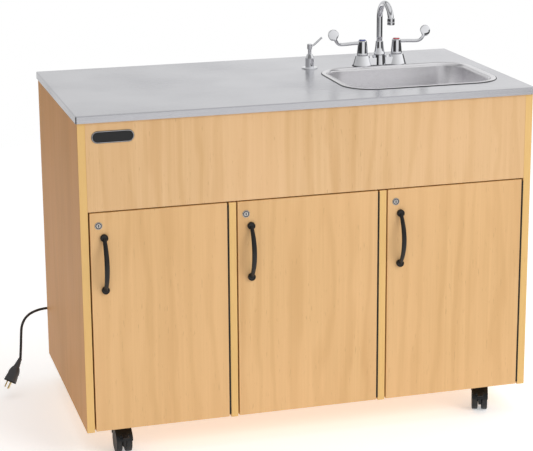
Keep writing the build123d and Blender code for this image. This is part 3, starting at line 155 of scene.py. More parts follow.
def maple(name, shift, light=LAMINATE_LIGHT, dark=LAMINATE_DARK, figure=1.0, gloss=0.2):
    """Satin maple laminate: fine upright fibre, faint cathedrals, short flecks and soft clouds."""
    paint = Paint(name, light, 0.42, Specular_IOR_Level=gloss)
    fibre = paint.noise((210, 210, 3.2), shift, 5, 0.62)
    streak = paint.noise((34, 34, 0.9), shift, 4, 0.55, 0.4)
    rings = paint.add(
        "ShaderNodeTexWave",
        {
            "Vector": paint.stretched((3.4, 3.4, 0.62), shift), "Scale": 1.6,
            "Distortion": 9.0, "Detail": 3.0, "Detail Scale": 1.3, "Detail Roughness": 0.6,
        },
        wave_type="BANDS", bands_direction="X", wave_profile="SIN",
    ).outputs["Fac"]
    flecks = paint.noise((300, 300, 34), shift, 2, 0.5)
    clouds = paint.noise((3.1, 3.1, 1.7), shift, 2, 0.5)
    colour = paint.mix(paint.span(fibre, 0.3, 0.72, 0, 0.34), light, dark)
    colour = paint.mix(paint.span(streak, 0.42, 0.75, 0, 0.42 * figure), colour, dark)
    colour = paint.mix(paint.span(rings, 0.55, 1.0, 0, 0.36 * figure), colour, dark)
    spots = paint.span(flecks, 0.66, 0.76, 0, 0.5 * figure)
    colour = paint.mix(spots, colour, FLECK)
    pale = (min(light[0] * 1.09, 1), light[1] * 1.07, light[2] * 1.12)
    colour = paint.mix(paint.span(clouds, 0.35, 0.7, 0, 0.55), colour, pale)
    paint.drive("Base Color", colour)
    paint.drive("Roughness", paint.span(fibre, 0.3, 0.7, 0.37, 0.48))
    paint.bump(fibre, 0.00006, 0.6)
    return paint.material


def steel(name, along, colour=(0.76, 0.765, 0.785), roughness=0.25, cloud=0.06):
    """Brushed stainless: hair lines along one axis, soft clouds, and a tone that rises to the right:
    painted light and shade, darker at the object's left and lighter at its right.
    """
    fine, coarse = [2600.0] * 3, [520.0] * 3
    fine[along], coarse[along] = 9.0, 2.4
    paint = Paint(name, colour, roughness, Metallic=1.0)
    hair = paint.noise(fine, (0, 0, 0), 3, 0.6)
    band = paint.noise(coarse, (3, 1, 7), 3, 0.55)
    smear = paint.noise((4.5, 4.5, 4.5), (1, 2, 3), 2, 0.5)
    rough = paint.span(hair, 0.3, 0.7, roughness - 0.045, roughness + 0.055)
    rough = paint.math("ADD", rough, paint.span(smear, 0.3, 0.7, -cloud, cloud))
    paint.drive("Roughness", rough)
    across = paint.add("ShaderNodeSeparateXYZ", {"Vector": paint.coords.outputs["Object"]}).outputs[0]
    # painted shade and light: the base colour runs from 0.86 of itself at the left to full at the right
    painted_left_shade = tuple(c * 0.86 for c in colour)
    tone = paint.mix(paint.span(across, -0.6, 0.6, 0, 1), painted_left_shade, colour)
    tone = paint.mix(paint.span(band, 0.32, 0.7, 0, 0.22), tone, tuple(c * 0.8 for c in colour))
    paint.drive("Base Color", tone)
    paint.bump(hair, 0.000012, 0.5)
    return paint.material


def plain(name, colour, roughness, grain=0.0, size=900.0, spread=0.05, **sockets):
    """A moulded, painted or plated surface: uneven gloss, a little tone and a fine grain."""
    paint = Paint(name, colour, roughness, **sockets)
    cloud = paint.noise((14, 14, 14), (5, 5, 5), 3, 0.55)
    paint.drive("Roughness", paint.span(cloud, 0.3, 0.7, max(roughness - spread, 0.02), roughness + spread))
    tone = paint.mix(paint.span(cloud, 0.3, 0.7, 0, 0.3), colour, tuple(c * 0.86 for c in colour))
    paint.drive("Base Color", tone)
    if grain:
        paint.bump(paint.noise((size, size, size), (0, 0, 0), 2, 0.5), grain, 0.6)
    return paint.material


def board_core(name):
    """Raw particle board."""
    paint = Paint(name, (0.42, 0.29, 0.17), 0.85)
    chips = paint.add(
        "ShaderNodeTexVoronoi", {"Vector": paint.stretched((260, 260, 420)), "Scale": 1.0}
    ).outputs["Color"]
    value = paint.add("ShaderNodeSeparateColor", {"Color": chips}).outputs[0]
    tone = paint.mix(paint.span(value, 0, 1, 0, 1), (0.50, 0.36, 0.22), (0.30, 0.19, 0.10))
    paint.drive("Base Color", tone)
    paint.bump(value, 0.0002, 0.5)
    return paint.material


EDGE_LIGHT, EDGE_DARK = (0.80, 0.525, 0.205), (0.69, 0.41, 0.135)
MAPLE = {
    "fascia": maple("maple_fascia", (2.3, 0.0, 0.4), (0.80, 0.53, 0.28)),
    "left": maple("maple_left_door", (0.0, 0.0, 7.0)),
    "middle": maple("maple_middle_door", (5.1, 0.0, 2.0)),
    "right": maple("maple_right_door", (9.7, 0.0, 4.0)),
    # painted shade: the left side panel's laminate is darker and redder, as the side looks in shade
    "side": maple("maple_shaded_side", (1.0, 3.0, 1.0), SHADED_SIDE_LIGHT, SHADED_SIDE_DARK, 1.0, 0.05),
    "inside": maple("maple_inside", (4.0, 8.0, 5.0)),
}
EDGE_BAND = maple("maple_edge_band", (7.0, 2.0, 3.0), EDGE_LIGHT, EDGE_DARK, 0.5)
STEEL_TOP = steel("steel_worktop", 0, (0.63, 0.63, 0.66), 0.22)
STEEL_BOWL = steel("steel_bowl", 2, (0.88, 0.87, 0.89), 0.26, 0.05)
CHROME = plain("chrome_polished", (0.80, 0.805, 0.83), 0.05, spread=0.025, Metallic=1.0)
NICKEL = plain("lock_nickel", (0.42, 0.40, 0.38), 0.24, 0.00002, 900, Metallic=1.0)
PLATED = plain("zinc_plate", (0.60, 0.61, 0.63), 0.34, 0.00002, 700, Metallic=1.0)
BLACK_METAL = plain("black_powder_coat", (0.013, 0.012, 0.011), 0.36, 0.00003, 1500, Specular_IOR_Level=0.3)
BLACK_PLASTIC = plain("black_moulding", (0.010, 0.010, 0.011), 0.36, 0.00004, 1100, Specular_IOR_Level=0.35)
TREAD = plain("caster_tread", (0.010, 0.010, 0.011), 0.55, 0.00005, 800)
RUBBER = plain("cord_jacket", (0.022, 0.022, 0.024), 0.40, 0.00003, 900)
TANK = plain("tank_plastic", (0.80, 0.82, 0.80), 0.36, 0.0001, 240, Subsurface_Weight=0.12)
HOSE = plain("hose_plastic", (0.42, 0.44, 0.46), 0.42, 0.00004, 500)
WATER_HOSE = plain("water_hose", (0.62, 0.64, 0.66), 0.30, 0.0001, 1400, Metallic=0.6)
ENAMEL = plain("heater_enamel", (0.82, 0.82, 0.80), 0.28, 0.00002, 500, Coat_Weight=0.3)
BRASS = plain("prong_brass", (0.78, 0.63, 0.36), 0.22, spread=0.06, Metallic=1.0)
COLD_RING = plain("cold_ring", (0.025, 0.055, 0.36), 0.3, spread=0.03)
HOT_RING = plain("hot_ring", (0.62, 0.035, 0.05), 0.3, spread=0.03)
# painted shade: near-black for recesses, the lock's key slot, the ring round its plug and the aerator's
# mouth
RECESS_SHADE = plain("painted_recess_shade", (0.008, 0.008, 0.009), 0.6)
PLATE_EDGE = plain("nameplate_border", (0.62, 0.62, 0.64), 0.35)
PLUG_GREY = plain("plug_moulding", (0.062, 0.062, 0.066), 0.42, 0.00005, 700)
CORE = board_core("particle_board")
GASKET = plain("gasket_rubber", (0.02, 0.02, 0.022), 0.6, 0.00003, 600)


# ---------------------------------------------------------------- mesh helpers
def publish(name, mesh, body, material=None, smooth=True):
    """Links a mesh as a piece that rides on a body and takes its finish from a slot."""
    piece = bpy.data.objects.new(name, mesh)
    bpy.context.scene.collection.objects.link(piece)
    if material is not None:
        mesh.materials.append(material)
    if smooth:
        mesh.shade_smooth()
    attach(piece, body)
    return piece


def finish_mesh(bm, name):
    bmesh.ops.remove_doubles(bm, verts=bm.verts, dist=1e-7)
    bmesh.ops.recalc_face_normals(bm, faces=bm.faces)
    mesh = bpy.data.meshes.new(name)
    bm.to_mesh(mesh)
    bm.free()
    return mesh


def loft(bm, rings, loop=False):
    """Faces between rings of equal count, with ends closed unless the last ring joins the first."""
    made = [[bm.verts.new(p) for p in ring] for ring in rings]
    pairs = list(zip(made, made[1:]))
    if loop:
        pairs.append((made[-1], made[0]))
    for a, b in pairs:
        count = len(a)
        for i in range(count):
            j = (i + 1) % count
            bm.faces.new((a[i], a[j], b[j], b[i]))
    if not loop:
        for ring in (made[0], made[-1]):
            bm.faces.new(ring)


def turn_frame(axis):
    """Two directions square to an axis."""
    axis = Vector(axis).normalized()
    side = Vector((1, 0, 0)) if abs(axis.x) < 0.9 else Vector((0, 1, 0))
    u = (side - axis * side.dot(axis)).normalized()
    return axis, u, axis.cross(u)


def lathe_rings(profile, origin, axis=(0, 0, 1), wobble=None):
    """Rings of a turned shape: profile is (radius, distance along the axis)."""
    axis, u, v = turn_frame(axis)
    rings = []
    for radius, along in profile:
        ring = []
        for i in range(FINE):
            a = math.tau * i / FINE
            r = radius * (wobble(a, along) if wobble else 1)
            ring.append(Vector(origin) + axis * along + u * (r * math.cos(a)) + v * (r * math.sin(a)))
        rings.append(ring)
    return rings


def rounded(profile, radius, steps=4):
    """A turned profile with its inner corners softened by short arcs."""
    out = [profile[0]]
    for before, corner, after in zip(profile, profile[1:], profile[2:]):
        a, c, b = Vector(before), Vector(corner), Vector(after)
        cut = min(radius, (c - a).length * 0.45, (b - c).length * 0.45)
        p, q = c + (a - c).normalized() * cut, c + (b - c).normalized() * cut
        for k in range(steps + 1):
            t = k / steps
            out.append(tuple(p * (1 - t) ** 2 + c * 2 * t * (1 - t) + q * t ** 2))
    out.append(profile[-1])
    return out


def lathe(name, profile, origin, body, material, soft=0.8 * MM, wobble=None):
    """A turned piece. A profile that starts and ends at the axis is closed by small end faces."""
    bm = bmesh.new()
    tiny = 1e-5
    points = [(max(r, tiny), z) for r, z in rounded(profile, soft)]
    loft(bm, lathe_rings(points, origin, wobble=wobble))
    return publish(name, finish_mesh(bm, name), body, material)


def rounded_rectangle(x, y, z, half_x, half_y, radius, per_corner=12):
    ring = []
    radius = min(radius, half_x - 1e-5, half_y - 1e-5)
    corners = [(1, 1, 0), (-1, 1, 90), (-1, -1, 180), (1, -1, 270)]
    for sx, sy, start in corners:
        cx, cy = x + sx * (half_x - radius), y + sy * (half_y - radius)
        for k in range(per_corner + 1):
            a = math.radians(start + 90 * k / per_corner)
            ring.append(Vector((cx + radius * math.cos(a), cy + radius * math.sin(a), z)))
    return ring


def tube_rings(points, section, up=(0, 1, 0), count=20):
    """Rings along a line. section(share) gives the half sizes across it and along up."""
    rings = []
    last = len(points) - 1
    for i, p in enumerate(points):
        ahead = points[min(i + 1, last)] - points[max(i - 1, 0)]
        ahead.normalize()
        side = ahead.cross(Vector(up)).normalized()
        over = side.cross(ahead).normalized()
        wide, tall = section(i / last)
        ring = []
        for k in range(count):
            a = math.tau * k / count
            x, y = wide * math.cos(a), tall * math.sin(a)
            ring.append(p + side * x + over * y)
        rings.append(ring)
    return rings


def smooth_line(points, steps=10):
    """Catmull-Rom points through a few given ones."""
    pts = [Vector(p) for p in points]
    pts = [pts[0] * 2 - pts[1]] + pts + [pts[-1] * 2 - pts[-2]]
    out = []
    for a, b, c, d in zip(pts, pts[1:], pts[2:], pts[3:]):
        for k in range(steps):
            t = k / steps
            out.append(0.5 * ((2 * b) + (c - a) * t + (2 * a - 5 * b + 4 * c - d) * t ** 2
                              + (3 * b - a - 3 * c + d) * t ** 3))
    out.append(pts[-2])
    return out


def add_bevel(piece, width, segments=2, angle=35):
    modifier = piece.modifiers.new("round_edges", "BEVEL")
    modifier.width = width
    modifier.segments = segments
    modifier.limit_method = "ANGLE"
    modifier.angle_limit = math.radians(angle)
    modifier.harden_normals = True
    return piece


# ---------------------------------------------------------------- boards
DOOR_GAP = 4 * MM
HINGE_LEAF = 0.8 * MM
EDGE_ROUND = 0.6 * MM


def board(name, a, b, body, face, band_sides):
    """A laminated board with softened edges. band_sides are the edges with edge banding."""
    bm = bmesh.new()
    bmesh.ops.create_cube(bm, size=1.0)
    size, centre = b - a, (a + b) / 2
    for v in bm.verts:
        v.co = Vector([v.co[i] * size[i] + centre[i] for i in range(3)])
    bm.normal_update()
    for f in bm.faces:
        for side in band_sides:
            if f.normal.dot(Vector(side)) > 0.9:
                f.material_index = 1
    mesh = finish_mesh(bm, name)
    mesh.materials.append(face)
    mesh.materials.append(EDGE_BAND)
    piece = publish(name, mesh, body, smooth=False)
    return add_bevel(piece, EDGE_ROUND)


def cabinet_boards():
    front, left, right, up, down = (0, -1, 0), (-1, 0, 0), (1, 0, 0), (0, 0, 1), (0, 0, -1)
    # the left panel takes the darker laminate, which is painted shade; the right takes the fascia's
    for node, face in (("side_panel_left", MAPLE["side"]), ("side_panel_right", MAPLE["fascia"])):
        sides = (front, up, down)
        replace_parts(board(node + "_board", *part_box(node), "cabinet", face, sides), node)
    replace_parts(board("fascia_board", *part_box("fascia"), "cabinet", MAPLE["fascia"], (down,)), "fascia")
    for node in ("floor_panel", "back_panel"):
        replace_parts(board(node + "_board", *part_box(node), "cabinet", MAPLE["inside"], (front,)), node)
    for bay in ("left", "middle", "right"):
        node = f"door_{bay}"
        sides = (left, right, up, down)
        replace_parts(board(node + "_board", *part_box(node), node, MAPLE[bay], sides), node)
    dress(MAPLE["inside"], "storage_shelf")
    dividers()


def dividers():
    """The two stepped uprights, drawn as their side outline and drawn out across."""
    a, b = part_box("dividers")
    step_y = high("fascia").y
    step_z = high("door_left").z
    for index, (before, after) in enumerate((("left", "middle"), ("middle", "right"))):
        x0 = high(f"door_{before}").x + HINGE_LEAF + DOOR_GAP
        x1 = low(f"door_{after}").x - DOOR_GAP
        floor_y, floor_z = low("floor_panel").y, high("floor_panel").z
        outline = [
            (a.y, a.z), (floor_y, a.z), (floor_y, floor_z), (b.y, floor_z),
            (b.y, b.z), (step_y, b.z), (step_y, step_z), (a.y, step_z),
        ]
        bm = bmesh.new()
        loft(bm, [[Vector((x, y, z)) for y, z in outline] for x in (x0, x1)])
        bm.normal_update()
        bmesh.ops.recalc_face_normals(bm, faces=bm.faces)
        for f in bm.faces:
            f.material_index = 1 if f.normal.y < -0.9 else 0
        mesh = finish_mesh(bm, f"divider_{index + 1}")
        mesh.materials.append(MAPLE["inside"])
        mesh.materials.append(EDGE_BAND)
        piece = publish(f"divider_{index + 1}", mesh, "cabinet", smooth=False)
        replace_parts(add_bevel(piece, EDGE_ROUND), "dividers")


# ---------------------------------------------------------------- CAD nodes that stay
def dress(material, *nodes):
    for node in nodes:
        piece = frame["nodes"][node]
        piece.data.materials.clear()
        piece.data.materials.append(material)


def dress_frame():
    corners = ("front_left", "front_right", "back_left", "back_right")
    dress(STEEL_TOP, "worktop")
    dress(STEEL_BOWL, "basin")
    dress(CORE, "worktop_core")
    dress(CHROME, "drain_strainer", "faucet_base", "spout", "handle_cold", "handle_hot")
    dress(CHROME, "soap_collar", "soap_pump")
    dress(TANK, "waste_tank", "fresh_tank", "soap_bottle")
    dress(BLACK_PLASTIC, "tank_caps", "water_pump", "nameplate")
    dress(BLACK_PLASTIC, "brake_lever_front_left", "brake_lever_front_right")
    dress(PLATED, "caster_plates")
    dress(BLACK_METAL, "hinge_leaves_fixed")
    dress(ENAMEL, "water_heater")
    dress(HOSE, "drain_hose")
    dress(WATER_HOSE, "water_hoses")
    dress(GASKET, "faucet_mounting", "cord_gland")
    dress(BLACK_METAL, "cord_hook")
    dress(BRASS, "plug_blades")
    dress(RUBBER, "power_cord", "cord_coil", "plug_body")
    for bay in ("left", "middle", "right"):
        dress(NICKEL, f"lock_{bay}", f"cam_{bay}")
        dress(BLACK_METAL, f"pull_{bay}", f"hinge_leaf_{bay}")
    for corner in corners:
        dress(BLACK_PLASTIC, f"caster_hood_{corner}")
        dress(TREAD, f"caster_wheels_{corner}")


# ---------------------------------------------------------------- faucet
HUB_HEIGHT = 42 * MM
HUB_LIFT = 0.3 * MM
ARM_BELOW_HUB_TOP = 7 * MM
ARM_SAG = 2 * MM
ARM_HALF = 5.0 * MM         # half of the blade's bar, by the hub
PADDLE_RADIUS = 15.6 * MM
SPOUT_TUBE = 8.5 * MM
SPOUT_BEND = 46 * MM
OUTLET_RISE = 126 * MM
FLUTES = 8                  # shallow facets round each hub
FLUTE_DEPTH = 0.05          # as a share of the hub's radius
FLUTE_FADE = 6 * MM         # they run out below the hub's top


def blade(name, side, hub, paddle, arm_z, body):
    """A bar that leaves the hub, sweeps up and spreads into a thin bowed paddle."""
    y = hub.y
    line = smooth_line([
        (hub.x + side * 6 * MM, y, arm_z),
        (hub.x + side * 34 * MM, y, arm_z - ARM_SAG / 2),
        (paddle.x - side * 24 * MM, y, arm_z - ARM_SAG),
        (paddle.x - side * 12 * MM, y - 2 * MM, arm_z + 3 * MM),
        (paddle.x - side * 4 * MM, y - 3 * MM, paddle.z - 11 * MM),
        (paddle.x, y - 1 * MM, paddle.z),
        (paddle.x + side * 2 * MM, y + 3 * MM, paddle.z + PADDLE_RADIUS - 0.3 * MM),
    ], 14)
    count = len(line) - 1
    middle_share = min(range(count + 1), key=lambda i: (line[i] - paddle).length) / count

    def section(share):
        place = line[round(share * count)]
        reach = min((place - paddle).length / PADDLE_RADIUS, 1.0)
        disc = PADDLE_RADIUS * math.sqrt(max(1 - reach ** 2, 0.0))
        bar = ARM_HALF * (1 - 0.1 * share) if share < middle_share else 0.0
        wide = max((bar ** 3 + disc ** 3) ** (1 / 3), 0.2 * MM)
        tall = ARM_HALF * (1 - 0.62 * min(share / middle_share, 1.0))
        return wide, min(tall, wide)

    bm = bmesh.new()
    loft(bm, tube_rings(line, section, (0, 1, 0), 28))
    publish(name, finish_mesh(bm, name), body, CHROME)


def handle(side, body, turning, ring_paint):
    axis = joint(turning)
    base_z = high("faucet_base").z + HUB_LIFT
    hub = Vector((axis.x, axis.y, base_z))
    profile = [
        (0, 0), (16.3 * MM, 0), (16.5 * MM, 3 * MM), (15.6 * MM, 6 * MM), (15.0 * MM, 14 * MM),
        (13.2 * MM, 34 * MM), (12.8 * MM, 39 * MM), (11.2 * MM, HUB_HEIGHT), (0, HUB_HEIGHT),
    ]

    def flutes(angle, along):
        fade = min(max(along / HUB_HEIGHT, 0), 1) * min(max((HUB_HEIGHT - along) / FLUTE_FADE, 0), 1)
        return 1 - FLUTE_DEPTH * fade * (0.5 + 0.5 * math.cos(FLUTES * angle))

    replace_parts(lathe(body + "_hub", profile, hub, body, CHROME, wobble=flutes), body)
    top = hub + Vector((0, 0, HUB_HEIGHT))
    ring = [(0, 0), (9.4 * MM, 0), (9.4 * MM, 1.3 * MM), (7.6 * MM, 2.2 * MM), (0, 2.2 * MM)]
    lathe(body + "_index", ring, top, body, ring_paint)
    cap = [(0, 0), (6.4 * MM, 0), (6.0 * MM, 2.9 * MM), (0, 3.3 * MM)]
    lathe(body + "_cap", cap, top, body, CHROME)
    a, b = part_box(body)
    reach_x = b.x - PADDLE_RADIUS if side > 0 else a.x + PADDLE_RADIUS
    paddle = Vector((reach_x, axis.y, b.z - PADDLE_RADIUS))
    blade(body + "_blade", side, hub, paddle, base_z + HUB_HEIGHT - ARM_BELOW_HUB_TOP, body)


def gooseneck():
    axis = joint("spout_swivel")
    x, y = axis.x, axis.y
    base_z = high("faucet_base").z + HUB_LIFT
    bend_z = high("spout").z - SPOUT_TUBE - SPOUT_BEND
    outlet_z = high("worktop").z + OUTLET_RISE
    flare = [
        (0, 0), (16.5 * MM, 0), (16.3 * MM, 2.5 * MM), (14.2 * MM, 8 * MM), (12.0 * MM, 20 * MM),
        (10.8 * MM, 34 * MM), (10.4 * MM, 38 * MM), (8.4 * MM, 39 * MM), (0, 39 * MM),
    ]
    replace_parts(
        lathe("spout_flare", flare, (x, y, base_z), "spout", CHROME, soft=3 * MM), "spout"
    )
    line = [Vector((x, y, base_z + 20 * MM)), Vector((x, y, (base_z + bend_z) / 2))]
    for k in range(FINE + 1):
        a = math.pi * k / FINE
        rise = SPOUT_BEND * math.sin(a)
        line.append(Vector((x, y - SPOUT_BEND * (1 - math.cos(a)), bend_z + rise)))
    tip = line[-1]
    line.append(Vector((tip.x, tip.y, outlet_z + 12 * MM)))
    bm = bmesh.new()
    loft(bm, tube_rings(line, lambda share: (SPOUT_TUBE, SPOUT_TUBE), (1, 0, 0), 40))
    publish("spout_tube", finish_mesh(bm, "spout_tube"), "spout", CHROME)
    aerator = [
        (0, 3 * MM), (7.0 * MM, 1.0 * MM), (9.0 * MM, 0), (10.4 * MM, 0.6 * MM), (10.4 * MM, 7 * MM),
        (9.7 * MM, 7.6 * MM), (9.7 * MM, 8.6 * MM), (10.4 * MM, 9.2 * MM), (10.2 * MM, 18 * MM),
        (8.6 * MM, 20.5 * MM), (0, 20.5 * MM),
    ]
    outlet = (tip.x, tip.y, outlet_z)
    lathe("spout_aerator", aerator, outlet, "spout", CHROME, soft=0.5 * MM)
    # the screen is near-black: painted shade inside the aerator's mouth
    screen = [(0, 1.6 * MM), (6.8 * MM, 1.6 * MM), (6.8 * MM, 2.6 * MM), (0, 2.6 * MM)]
    lathe("spout_screen_shade", screen, outlet, "spout", RECESS_SHADE, soft=0.1 * MM)


# ---------------------------------------------------------------- bowl
SHEET = 1.2 * MM
RIM_SIDE, RIM_BACK = 20 * MM, 12 * MM       # the flat rim outside the bowl
RIM_CORNER, BOWL_CORNER = 82 * MM, 62 * MM
RIM_SUNK = 0.9 * MM         # how far the rim falls from its bead to the roll
ROLL = 10.5 * MM            # from the rim down into the bowl
ROLL_STARTS = 0.46          # as a share of the rim's width
WALL_LEAN = 12.8 * MM
FLOOR_BEND = 26 * MM
FLOOR_CORNER = 42 * MM
DRAIN_RADIUS = 30 * MM
CORNER_STEPS, BEND_STEPS, WALL_STEPS = 16, 8, 6


def quarter(steps):
    """Shares of the way round a quarter turn, each with its sine and cosine."""
    for k in range(1, steps + 1):
        turn = math.radians(90 * k / steps)
        yield k / steps, math.sin(turn), math.cos(turn)


def pressed_basin():
    """The bowl as one pressed sheet: a raised rim, a wide roll into the bowl, and the drain hole."""
    a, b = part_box("basin")
    rim_x, rim_y, top = (a.x + b.x) / 2, (a.y + b.y) / 2, b.z
    half_x, half_y = (b.x - a.x) / 2, (b.y - a.y) / 2
    bowl_half_y = (b.y - a.y - RIM_SIDE - RIM_BACK) / 2
    bowl_y = a.y + RIM_SIDE + bowl_half_y
    floor_z = a.z + SHEET
    drain = middle("drain_strainer")

    def rim(share, z):
        """A ring from the rim's outer edge, at 0, to the bowl's upper edge, at 1."""
        y = rim_y + (bowl_y - rim_y) * share
        deep = half_y + (bowl_half_y - half_y) * share
        corner = RIM_CORNER + (BOWL_CORNER - RIM_CORNER) * share
        return rounded_rectangle(rim_x, y, z, half_x - RIM_SIDE * share, deep, corner, CORNER_STEPS)

    def wall(inset, z, corner):
        wide, deep = half_x - RIM_SIDE - inset, bowl_half_y - inset
        return rounded_rectangle(rim_x, bowl_y, z, wide, deep, corner, CORNER_STEPS)

    def hole(radius, z):
        return rounded_rectangle(drain.x, drain.y, z, radius, radius, radius, CORNER_STEPS)

    bead = ((0, 2.6), (0, 1.4), (0.05, 0.5), (0.13, 0), (0.24, 0.1), (0.34, 0.7), (ROLL_STARTS, 0.9))
    rings = [rim(share, top - down * MM) for share, down in bead]
    for _, sine, cosine in quarter(BEND_STEPS):
        share = ROLL_STARTS + (1 - ROLL_STARTS) * sine
        rings.append(rim(share, top - RIM_SUNK - ROLL * (1 - cosine)))
    wall_top, wall_low = top - RIM_SUNK - ROLL, floor_z + FLOOR_BEND
    low_corner = BOWL_CORNER - 6 * MM
    for k in range(1, WALL_STEPS + 1):
        share = k / WALL_STEPS
        corner = BOWL_CORNER + (low_corner - BOWL_CORNER) * share
        rings.append(wall(WALL_LEAN * share, wall_top + (wall_low - wall_top) * share, corner))
    for share, sine, cosine in quarter(BEND_STEPS):
        inset = WALL_LEAN + FLOOR_BEND * (1 - cosine)
        corner = low_corner + (FLOOR_CORNER - low_corner) * share
        rings.append(wall(inset, floor_z + FLOOR_BEND * (1 - sine), corner))
    wide_hole = DRAIN_RADIUS * 1.5
    rings += [hole(wide_hole, floor_z - 0.1 * MM), hole(DRAIN_RADIUS, floor_z - 0.4 * MM)]
    rings += [hole(DRAIN_RADIUS, floor_z - SHEET), hole(wide_hole, floor_z - SHEET)]
    for share, sine, cosine in reversed(list(quarter(BEND_STEPS))):
        inset = WALL_LEAN + (FLOOR_BEND + SHEET) * (1 - cosine) - SHEET
        corner = low_corner + 1 * MM + (FLOOR_CORNER - low_corner) * share
        rings.append(wall(inset, floor_z - SHEET + (FLOOR_BEND + SHEET) * (1 - sine), corner))
    rings.append(wall(-SHEET, top - 14 * MM, BOWL_CORNER + 1 * MM))
    rings.append(rim(0.94, top - 2.6 * MM))
    bm = bmesh.new()
    loft(bm, rings, loop=True)
    bowl = publish("basin_pressed", finish_mesh(bm, "basin_pressed"), "cabinet", STEEL_BOWL)
    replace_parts(bowl, "basin")


def basin_rim_shade_bead():
    """A dark bead between the rim and the worktop: painted shade, for the dark line of shadow and
    reflection along the rim's outer edge.
    """
    a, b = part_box("basin")
    x, y, z = (a.x + b.x) / 2, (a.y + b.y) / 2, high("worktop").z
    half_x, half_y = (b.x - a.x) / 2, (b.y - a.y) / 2
    rings = []
    for out, up in ((-1, 0), (1.6, 0), (1.2, 1.0), (0.1, 1.5), (-1, 1.5)):
        spread = out * MM
        corner = RIM_CORNER + spread
        rings.append(rounded_rectangle(x, y, z + up * MM, half_x + spread, half_y + spread, corner))
    bm = bmesh.new()
    loft(bm, rings, loop=True)
    publish("basin_rim_shade_bead", finish_mesh(bm, "basin_rim_shade_bead"), "cabinet", GASKET)


# ---------------------------------------------------------------- door and fascia trim
def stadium(x, z, half_x, half_z, y, steps=20):
    ring = []
    for start, centre in ((-90, x + half_x - half_z), (90, x - half_x + half_z)):
        for k in range(steps + 1):
            a = math.radians(start + 180 * k / steps)
            ring.append(Vector((centre + half_z * math.cos(a), y, z + half_z * math.sin(a))))
    return ring


def nameplate_border():
    a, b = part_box("nameplate")
    x, z, face = (a.x + b.x) / 2, (a.z + b.z) / 2, a.y
    half_x, half_z = (b.x - a.x) / 2, (b.z - a.z) / 2
    rings = []
    for inset, proud in ((1.0, -0.2), (1.2, 0.5), (2.0, 0.5), (2.2, -0.2)):
        rings.append(stadium(x, z, half_x - inset * MM, half_z - inset * MM, face - proud * MM))
    bm = bmesh.new()
    loft(bm, rings, loop=True)
    publish("nameplate_border", finish_mesh(bm, "nameplate_border"), "cabinet", PLATE_EDGE)


def door_trim(bay):
    """The dark ring round the lock's plug and its dark key slot, both painted shade of those recesses, and
    the collars at the pull's feet.
    """
    body = f"door_{bay}"
    pin = joint(f"lock_{bay}_turn")
    groove = [(5.9 * MM, 0), (7.9 * MM, 0), (7.9 * MM, 0.25 * MM), (5.9 * MM, 0.25 * MM)]
    bm = bmesh.new()
    origin = Vector((pin.x, low(f"lock_{bay}").y, pin.z))
    loft(bm, lathe_rings(groove, origin, (0, -1, 0)), loop=True)
    publish(f"lock_groove_shade_{bay}", finish_mesh(bm, "lock_groove_shade"), body, RECESS_SHADE)
    slot = []
    for proud in (-0.1 * MM, 0.25 * MM):
        flat = rounded_rectangle(0, 0, 0, 1.1 * MM, 3.6 * MM, 0.5 * MM, 3)
        slot.append([origin + Vector((p.x, -proud, p.y)) for p in flat])
    bm = bmesh.new()
    loft(bm, slot)
    name = f"key_slot_shade_{bay}"
    publish(name, finish_mesh(bm, name), f"cam_{bay}", RECESS_SHADE, smooth=False)
    low_end, high_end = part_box(f"pull_{bay}")
    x = (low_end.x + high_end.x) / 2
    foot = (high_end.x - low_end.x) / 2
    collar = [
        (foot * 0.72, 5.4 * MM), (foot * 0.94, 5.4 * MM), (foot * 0.97, 7.2 * MM),
        (foot * 0.86, 8.4 * MM), (foot * 0.72, 7.6 * MM),
    ]
    for end, z in (("top", high_end.z - foot), ("bottom", low_end.z + foot)):
        bm = bmesh.new()
        loft(bm, lathe_rings(collar, (x, high_end.y, z), (0, -1, 0)), loop=True)
        name = f"pull_collar_{bay}_{end}"
        publish(name, finish_mesh(bm, name), body, BLACK_METAL)


# ---------------------------------------------------------------- plug
SHIFT = Vector((-609.5, -319.0, 0.0))       # from the cabinet's front left floor corner
PLUG_BACK = Vector((-94.0, 549.0, 103.0))
PLUG_AIM = Vector((-0.49, -0.27, -0.83)).normalized()
PLUG_ACROSS = Vector((0.75, -0.62, -0.25)).normalized()


